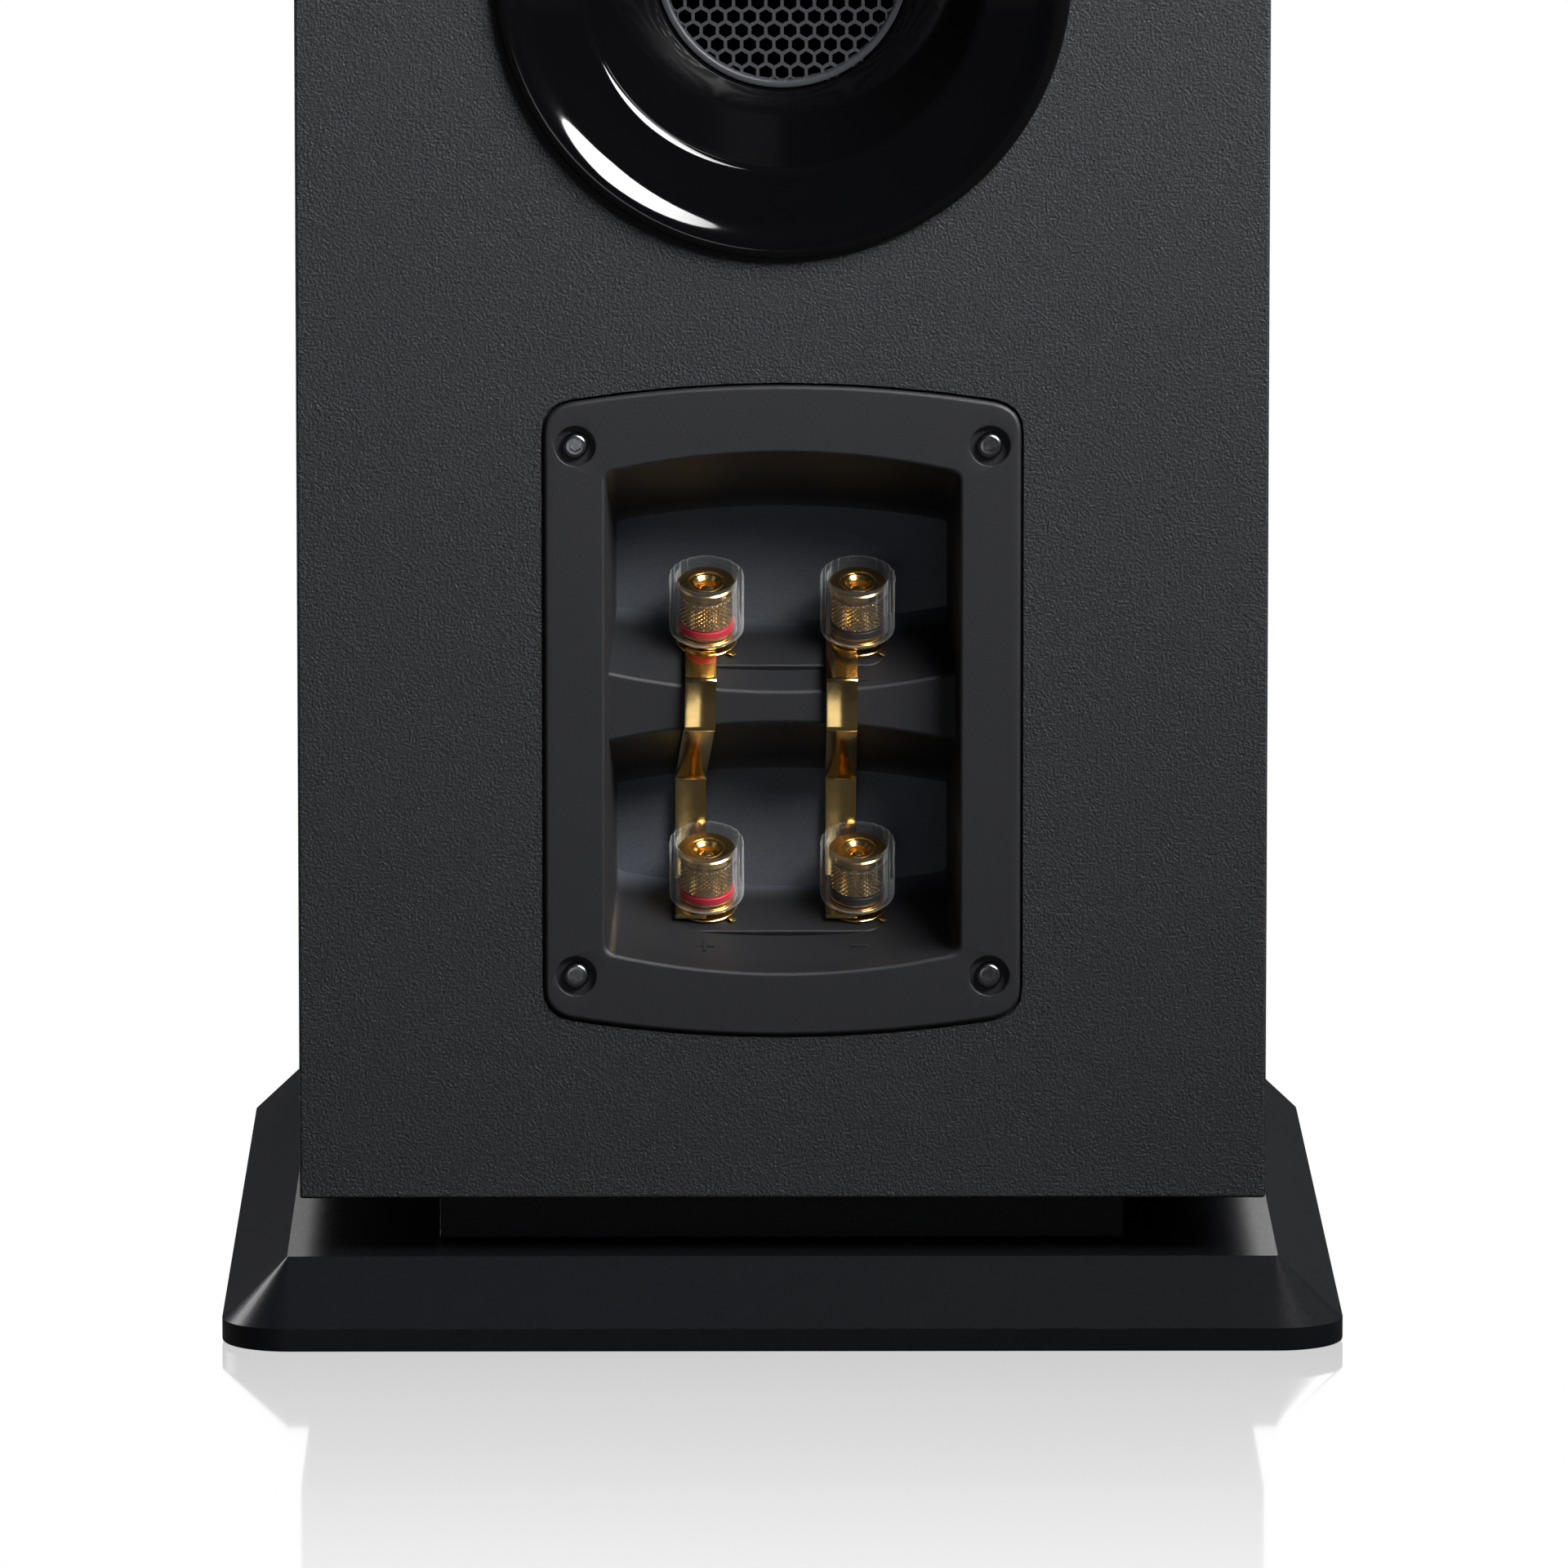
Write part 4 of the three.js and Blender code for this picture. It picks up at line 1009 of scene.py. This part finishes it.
turned_gold = gold_plate("turned gold plate", 0.2, 0.3)
polished_gold = gold_plate("polished gold plate", 0.1, 0.18)
acrylic_material = clear_acrylic()
red_material = dyed_plastic("red ABS", "b80c26")
black_material = dyed_plastic("black ABS", "1c1613")
for row in ("upper", "lower"):
    for side in ("left", "right"):
        label = f"{row}_{side}"
        joint = joints[f"knob_turn_{label}"]
        axis = Vector(joint["axis"])
        upright = Vector((0, 0, 1)).rotation_difference(axis).to_matrix().to_4x4()
        on_post = Matrix.Translation(joint["pos_m"]) @ upright
        ring_material = red_material if side == "left" else black_material
        ring_slot = "red_ring" if side == "left" else "black_ring"
        washer_body, knob_body = f"washer_{label}", f"knob_{label}"
        for make, name, material, body, node, slot in (
                (make_stud, "stud", turned_gold, "cabinet", "post_stud", "gold_plate"),
                (make_washer, "washer", turned_gold, washer_body, "clamp_washer", "gold_plate"),
                (make_core, "knurled_core", turned_gold, knob_body, "knob_core", "gold_plate"),
                (make_colour_ring, "band", ring_material, knob_body, "colour_ring", ring_slot),
                (make_sleeve, "clear_sleeve", acrylic_material, knob_body, "knob_sleeve",
                 "clear_acrylic")):
            bm = make()
            bm.transform(on_post)
            piece = piece_from(bm, f"{name}_{label}", material, body, 30)
            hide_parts(f"{node}_{label}")


# --- Jumper straps ------------------------------------------------------------------------
# Strips of gold-plated brass, stamped and folded, that join each upper post to the post below.
# They carry one amplifier's signal to both halves of the crossover.
def rounded_path(corners, radius, steps=6):
    """Points along a bent line in Y and Z, with its folds rounded."""
    points = [Vector(corners[0])]
    for before, corner, after in zip(corners, corners[1:], corners[2:]):
        corner = Vector(corner)
        come = (Vector(before) - corner).normalized()
        go = (Vector(after) - corner).normalized()
        half_angle = come.angle(go) / 2
        trim = radius / math.tan(half_angle)
        start, end = corner + come * trim, corner + go * trim
        points.append(start)
        points += [Vector(p) for p in curve_points(start, start.lerp(corner, 0.6),
                                                   end.lerp(corner, 0.6), end, steps)]
    points.append(Vector(corners[-1]))
    return points


def make_strap(side):
    thick, width, beside, fold = 1.0, 7.0, 3.6, 1.3
    seat = 1.6
    posts = [joints[f"knob_turn_{row}_{side}"] for row in ("upper", "lower")]
    axis = Vector(posts[0]["axis"])
    forward = Vector((0, axis.z, -axis.y))

    def beside_post(row, ahead):
        point = Vector(posts[row]["pos_m"]) + axis * seat * mm + forward * ahead * mm
        return (point.y, point.z)

    corners = [beside_post(0, -6.5), beside_post(0, 18.2), (rear - 7.3 * mm, cup_z - 5.8 * mm),
               (rear - 32.4 * mm, cup_z - 20.3 * mm), beside_post(1, -8.7), beside_post(1, 6)]
    path = rounded_path(corners, fold * mm)
    x = posts[0]["pos_m"][0] / mm + beside - width / 2
    bm = bmesh.new()
    verts = [bm.verts.new((x * mm, point.x, point.y)) for point in path]
    edges = [bm.edges.new(pair) for pair in zip(verts, verts[1:])]
    fresh, _ = pulled(bm, edges)
    bmesh.ops.translate(bm, verts=list(fresh), vec=(width * mm, 0, 0))
    if side == "left":
        jog, jog_low, jog_high = 2.3, -16, -4
        for vert in bm.verts:
            height = (vert.co.z - cup_z) / mm
            vert.co.x -= jog * mm * min(1, max(0, (height - jog_low) / (jog_high - jog_low)))
    bmesh.ops.recalc_face_normals(bm, faces=bm.faces)
    bmesh.ops.solidify(bm, geom=bm.faces, thickness=thick * mm)
    return bm


def centred(piece, node):
    """Moves a solidified strip's mesh so that it lies where its CAD node lies."""
    low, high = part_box(node)
    points = [v.co for v in piece.data.vertices]
    mine_low = Vector([min(p[i] for p in points) for i in range(3)])
    mine_high = Vector([max(p[i] for p in points) for i in range(3)])
    piece.data.transform(Matrix.Translation((low + high - mine_low - mine_high) / 2))


for side in ("left", "right"):
    bm = make_strap(side)
    soften(bm, 0.12, 2, 60)
    strap = piece_from(bm, f"folded_strap_{side}", polished_gold, "cabinet", 30)
    centred(strap, f"jumper_strap_{side}")
    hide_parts(f"jumper_strap_{side}")


# --- Tweeter ------------------------------------------------------------------------------
# A soft-dome tweeter: an aluminium faceplate with a shallow waveguide, held by four socket
# screws, around a coated silk dome with its own small roll.
def front_axis(node):
    """Puts Z on a driver's axis, out of the baffle, with zero at the baffle's face."""
    low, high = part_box(node)
    place = Vector((0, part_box("front_baffle")[0].y, (low.z + high.z) / 2))
    return Matrix.Translation(place) @ Matrix.Rotation(math.pi / 2, 4, "X")


def satin_metal(name, colour, roughness, grit):
    # Sprayed satin black over die-cast aluminium: even, with a faint orange peel.
    material, tree = new_material(name)
    peel = grain_of(tree, grit, 2)
    surfaced(tree, {"Base Color": srgb(colour), "IOR": 1.5},
             {"Roughness": between(tree, peel, roughness, roughness + 0.12),
              "Normal": bumped(tree, peel, 0.2, 0.08)})
    return material


def coated_silk():
    # Woven silk under a thin damping coat: a fine square weave, softly shiny.
    thread = 0.45 * mm
    material, tree = new_material("coated black silk")
    place = add(tree, "ShaderNodeTexCoord")
    warp, weft = (add(tree, "ShaderNodeTexWave",
                      {"bands_direction": way, "Scale": math.tau / (20 * thread)},
                      {"Vector": place.outputs["Object"]}).outputs["Fac"] for way in ("X", "Z"))
    weave = add(tree, "ShaderNodeMath", {"operation": "MULTIPLY"}, {0: warp, 1: weft}).outputs[0]
    surfaced(tree, {"Roughness": 0.42, "Sheen Weight": 0.15, "Sheen Roughness": 0.4},
             {"Base Color": colour_between(tree, weave, "101114", "2b2c30"),
              "Normal": bumped(tree, weave, 0.35, 0.1)})
    return material


def thin_shell(profile, thickness, steps=96):
    """A profile spun about Z with its face turned out of the baffle and a wall behind it."""
    bm = spun(profile, steps)
    if sum(face.normal.z * face.calc_area() for face in bm.faces) < 0:
        bmesh.ops.reverse_faces(bm, faces=bm.faces)
    bmesh.ops.solidify(bm, geom=bm.faces, thickness=thickness * mm)
    return bm


def make_screw_ring(name, place, count, radius, seat):
    """A ring of button-head screws whose heads stand on a flange."""
    ring = bmesh.new()
    for i in range(count):
        screw_bm = make_screw(3.0, 1.5, 1.5, 1.6, 8)
        turn = Matrix.Rotation(math.tau * (i + 0.5) / count, 4, "Z")
        screw_bm.transform(place @ turn @ Matrix.Translation((radius * mm, 0, seat * mm)))
        join(ring, screw_bm)
    piece_from(ring, name, steel_material, "cabinet", 35)


def make_faceplate():
    edge, step, throat = 52, 33, 14.5
    profile = [(edge, 0.3), (edge, 3.1)]
    profile += curve_points((edge, 3.1), (edge, 3.7), (edge - 0.3, 4), (edge - 0.9, 4), 5)
    profile += [(36.5, 4), (36, 3.5), (35.2, 3.5)]
    profile += curve_points((34.7, 3.8), (27, 3.4), (20, 1.3), (throat + 0.2, 0.7), 16)
    profile += [(throat, -1.5), (step, -1.5), (step, 0.3)]
    return spun(profile, 128, closed=True)


def make_dome():
    rim, roll, base, top = 13.4, 1.1, -1.0, 3.7
    inner = rim - 2 * roll
    profile = [(rim + 0.05, base), (rim, base + 0.2)]
    for i in range(1, 9):
        angle = math.pi * i / 8
        profile.append((rim - roll + roll * math.cos(angle), base + 0.2 + 0.9 * math.sin(angle)))
    profile += curve_points((inner, base + 0.2), (inner - 0.6, base + 2.6), (6, top), (0, top), 16)
    return thin_shell(profile, 0.18, 72)


tweeter_axis = front_axis("tweeter_faceplate")
frame_material = satin_metal("satin black die-cast aluminium", "151619", 0.36, 0.6)
faceplate_bm = make_faceplate()
faceplate_bm.transform(tweeter_axis)
faceplate = piece_from(faceplate_bm, "waveguide_plate", frame_material, "cabinet", 40)
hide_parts("tweeter_faceplate")
make_screw_ring("plate_screws", tweeter_axis, 4, 44, 3.9)
dome_bm = make_dome()
dome_bm.transform(tweeter_axis)
dome = piece_from(dome_bm, "silk_dome", coated_silk(), "tweeter_moving", 40)
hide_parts("tweeter_dome")


# --- Midrange and woofers -----------------------------------------------------------------
# Three cone drivers in die-cast frames, screwed to the baffle. The coated paper cones hang on
# half rolls of butyl rubber, and pump in and out on their voice coils.
def coated_paper():
    # Pressed paper pulp under a thin dark coating: fibres show as short pale flecks.
    material, tree = new_material("coated paper cone")
    pulp = grain_of(tree, 1.1, 5, Distortion=1.5)
    surfaced(tree, {"Roughness": 0.5, "IOR": 1.48},
             {"Base Color": ramp(tree, pulp, (0.35, "17181b"), (0.75, "34363b")),
              "Normal": bumped(tree, pulp, 0.35, 0.15)})
    return material


def make_frame(size):
    edge, hole, lip, coil = size["frame"], size["cutout"], size["lip"], size["coil"]
    floor = -size["depth"]
    profile = [(edge, 0.3), (edge, lip - 1.2)]
    profile += curve_points((edge, lip - 1.2), (edge, lip - 0.4), (edge - 0.5, lip),
                            (edge - 1.4, lip), 5)
    profile += [(hole + 0.6, lip), (hole + 0.2, lip - 0.5), (hole - 0.6, lip - 0.5),
                (hole - 1, lip)]
    profile += curve_points((hole - 2.4, lip), (hole - 3.6, lip), (hole - 4, lip - 1),
                            (hole - 4, 0.5), 6)
    profile += [(hole - 4, -5), (coil * 3, floor + 2.5), (coil + 8, floor + 2.5), (coil + 8, floor),
                (coil * 3 + 2.5, floor), (hole - 1, -5), (hole - 1, 0.3)]
    return spun(profile, 128, closed=True)


def make_cone(size):
    """The cone with its dust cap, and the former of its voice coil behind it."""
    edge, coil = size["cone"], size["coil"]
    dip, cap = -size["cone_depth"], size["coil"] + 3
    slope = curve_points((edge, 0), (edge * 0.82, dip * 0.4), (cap + 7, dip * 0.82),
                         (cap, dip + 2.2), 32)
    profile = [(edge, -0.1)]
    for i, (radius, height) in enumerate(slope):
        profile.append((radius, height + (0.3 if i in (7, 14, 21) else 0)))
    profile += curve_points((cap, dip + 2.2), (cap - 1, dip + 5), (cap * 0.5, dip + 6.8),
                            (0, dip + 6.8), 14)
    bm = thin_shell(profile, 0.8)
    former = spun([(coil - 0.7, dip + 2), (coil, dip + 2), (coil, -size["depth"] - 4),
                   (coil - 0.7, -size["depth"] - 4)], 48, closed=True)
    join(bm, former)
    return bm


roll_sectors = 12


def make_roll_sector(size, place, turn):
    """One sector of the half roll, closed at both ends."""
    outer, inner = size["cutout"] - 4.3, size["cone"] + 0.3
    middle_radius, half = (outer + inner) / 2, (outer - inner) / 2 - 0.9
    wall, land = 0.85, 1.3
    arc = [math.pi * i / 14 for i in range(15)]
    top = [(middle_radius + half * math.cos(a), 0.5 + (size["roll"] - 0.6) * math.sin(a))
           for a in arc]
    under = [(middle_radius + (half - wall) * math.cos(a),
              0.5 - wall + (size["roll"] - 0.6) * math.sin(a)) for a in reversed(arc)]
    profile = ([(outer, 0.5)] + top + [(inner - land, 0.4), (inner - land, -0.2)] + under
               + [(outer, 0.5 - wall)])
    bm = bmesh.new()
    verts = [bm.verts.new((r * mm, 0, h * mm)) for r, h in profile]
    edges = [bm.edges.new(pair) for pair in zip(verts, verts[1:] + verts[:1])]
    bmesh.ops.spin(bm, geom=verts + edges, cent=(0, 0, 0), axis=(0, 0, 1),
                   angle=math.tau / roll_sectors, steps=10, use_merge=False)
    bmesh.ops.edgeloop_fill(bm, edges=[e for e in bm.edges if e.is_boundary])
    bmesh.ops.recalc_face_normals(bm, faces=bm.faces)
    bm.transform(place @ Matrix.Rotation(turn - math.pi / roll_sectors, 4, "Z"))
    return bm


cone_material = coated_paper()
roll_material = matt_rubber("butyl rubber")
woofer_size = {"frame": 85, "cutout": 74, "lip": 4, "roll": 5.2, "cone": 56, "cone_depth": 22,
               "coil": 13, "depth": 62, "screws": 8, "screw_radius": 79.8}
midrange_size = {"frame": 66, "cutout": 56, "lip": 4, "roll": 4, "cone": 42, "cone_depth": 15,
                 "coil": 12.5, "depth": 46, "screws": 6, "screw_radius": 61.3}
for driver, size in (("midrange", midrange_size), ("upper_woofer", woofer_size),
                     ("lower_woofer", woofer_size)):
    axis_place = front_axis(f"{driver}_basket")
    frame_bm = make_frame(size)
    frame_bm.transform(axis_place)
    cast_frame = piece_from(frame_bm, f"cast_frame_{driver}", frame_material, "cabinet", 40)
    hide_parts(f"{driver}_basket")
    make_screw_ring(f"frame_screws_{driver}", axis_place, size["screws"], size["screw_radius"],
                    size["lip"] - 0.1)
    cone_bm = make_cone(size)
    cone_bm.transform(axis_place)
    cone = piece_from(cone_bm, f"paper_cone_{driver}", cone_material, f"{driver}_moving", 25)
    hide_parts(f"{driver}_cone")
    for i in range(roll_sectors):
        turn = math.tau * i / roll_sectors
        sector = piece_from(make_roll_sector(size, axis_place, turn), f"roll_{driver}_{i:02d}",
                            roll_material, None, 35)
        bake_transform(sector)
        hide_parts(f"{driver}_surround")


# --- Magnets ------------------------------------------------------------------------------
# Ring magnets of pressed ferrite between steel plates, behind each driver.
def pressed_ferrite():
    # Sintered ferrite: dull charcoal, slightly porous.
    material, tree = new_material("pressed ferrite")
    pores = grain_of(tree, 0.9, 4)
    surfaced(tree, {"Roughness": 0.62},
             {"Base Color": colour_between(tree, pores, "222225", "3c3c40"),
              "Normal": bumped(tree, pores, 0.4, 0.1)})
    return material


ferrite_material = pressed_ferrite()
for motor in ("tweeter_motor", "midrange_motor", "upper_woofer_motor", "lower_woofer_motor"):
    refinish(motor, ferrite_material)


# --- Inside the cabinet -------------------------------------------------------------------
# A fibreboard brace between the drivers, the crossover on its circuit board, and a loose wad of
# polyester wadding behind the woofers.
def raw_fibreboard():
    # Sawn MDF: plain brown, with fine darker fibres.
    material, tree = new_material("sawn fibreboard")
    fibres = grain_of(tree, 1.4, 5, Distortion=1)
    surfaced(tree, {"Roughness": 0.85},
             {"Base Color": colour_between(tree, fibres, "8a6a45", "b3925f"),
              "Normal": bumped(tree, fibres, 0.3, 0.15)})
    return material


def solder_mask():
    # Green solder mask over copper: glossy, with paler tracks.
    material, tree = new_material("green solder mask")
    place = add(tree, "ShaderNodeTexCoord")
    tracks = add(tree, "ShaderNodeTexVoronoi",
                 {"feature": "DISTANCE_TO_EDGE", "Scale": 1 / (9 * mm)},
                 {"Vector": place.outputs["Object"]})
    copper = add(tree, "ShaderNodeMapRange", {"From Min": 0.04, "From Max": 0.09},
                 {"Value": tracks.outputs["Distance"]}).outputs[0]
    surfaced(tree, {"Roughness": 0.3},
             {"Base Color": colour_between(tree, copper, "3f8f58", "1c5a38"),
              "Normal": bumped(tree, copper, 0.3, 0.1)})
    return material


def polyester_wadding():
    # Carded polyester fibre: white, soft and matt, with loose strands.
    material, tree = new_material("polyester wadding")
    strands = grain_of(tree, 2.5, 6, Distortion=2.5)
    surfaced(tree, {"Roughness": 0.95, "Sheen Weight": 0.4, "Sheen Roughness": 0.6},
             {"Base Color": colour_between(tree, strands, "c9c8c2", "f2f1ec"),
              "Normal": bumped(tree, strands, 0.7, 1.2)})
    return material


def make_wad():
    """A crowned block with slack corners and a lumpy skin, inside its CAD solid."""
    low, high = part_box("damping_wool")
    centre, half = (low + high) / 2, (high - low) / 2
    lump = 45 * mm
    bm = bmesh.new()
    bmesh.ops.create_cube(bm, size=2)
    bmesh.ops.subdivide_edges(bm, edges=bm.edges, cuts=15, use_grid_fill=True)
    for vert in bm.verts:
        x, y, z = vert.co
        vert.co = (x * math.sqrt(1 - 0.25 * y * y - 0.1 * z * z),
                   y * math.sqrt(1 - 0.25 * x * x - 0.1 * z * z),
                   z * math.sqrt(1 - 0.12 * x * x - 0.12 * y * y))
        vert.co = Vector([vert.co[i] * half[i] for i in range(3)]) + centre
        swell = noise.noise(vert.co / lump)
        vert.co = centre + (vert.co - centre) * (0.95 + 0.045 * swell)
    bmesh.ops.smooth_vert(bm, verts=bm.verts, factor=0.5, use_axis_x=True, use_axis_y=True,
                          use_axis_z=True)
    bmesh.ops.recalc_face_normals(bm, faces=bm.faces)
    return piece_from(bm, "wadding", polyester_wadding(), "cabinet", 60)


refinish("inner_brace", raw_fibreboard())
refinish("crossover_board", solder_mask())
wad = make_wad()
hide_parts("damping_wool")
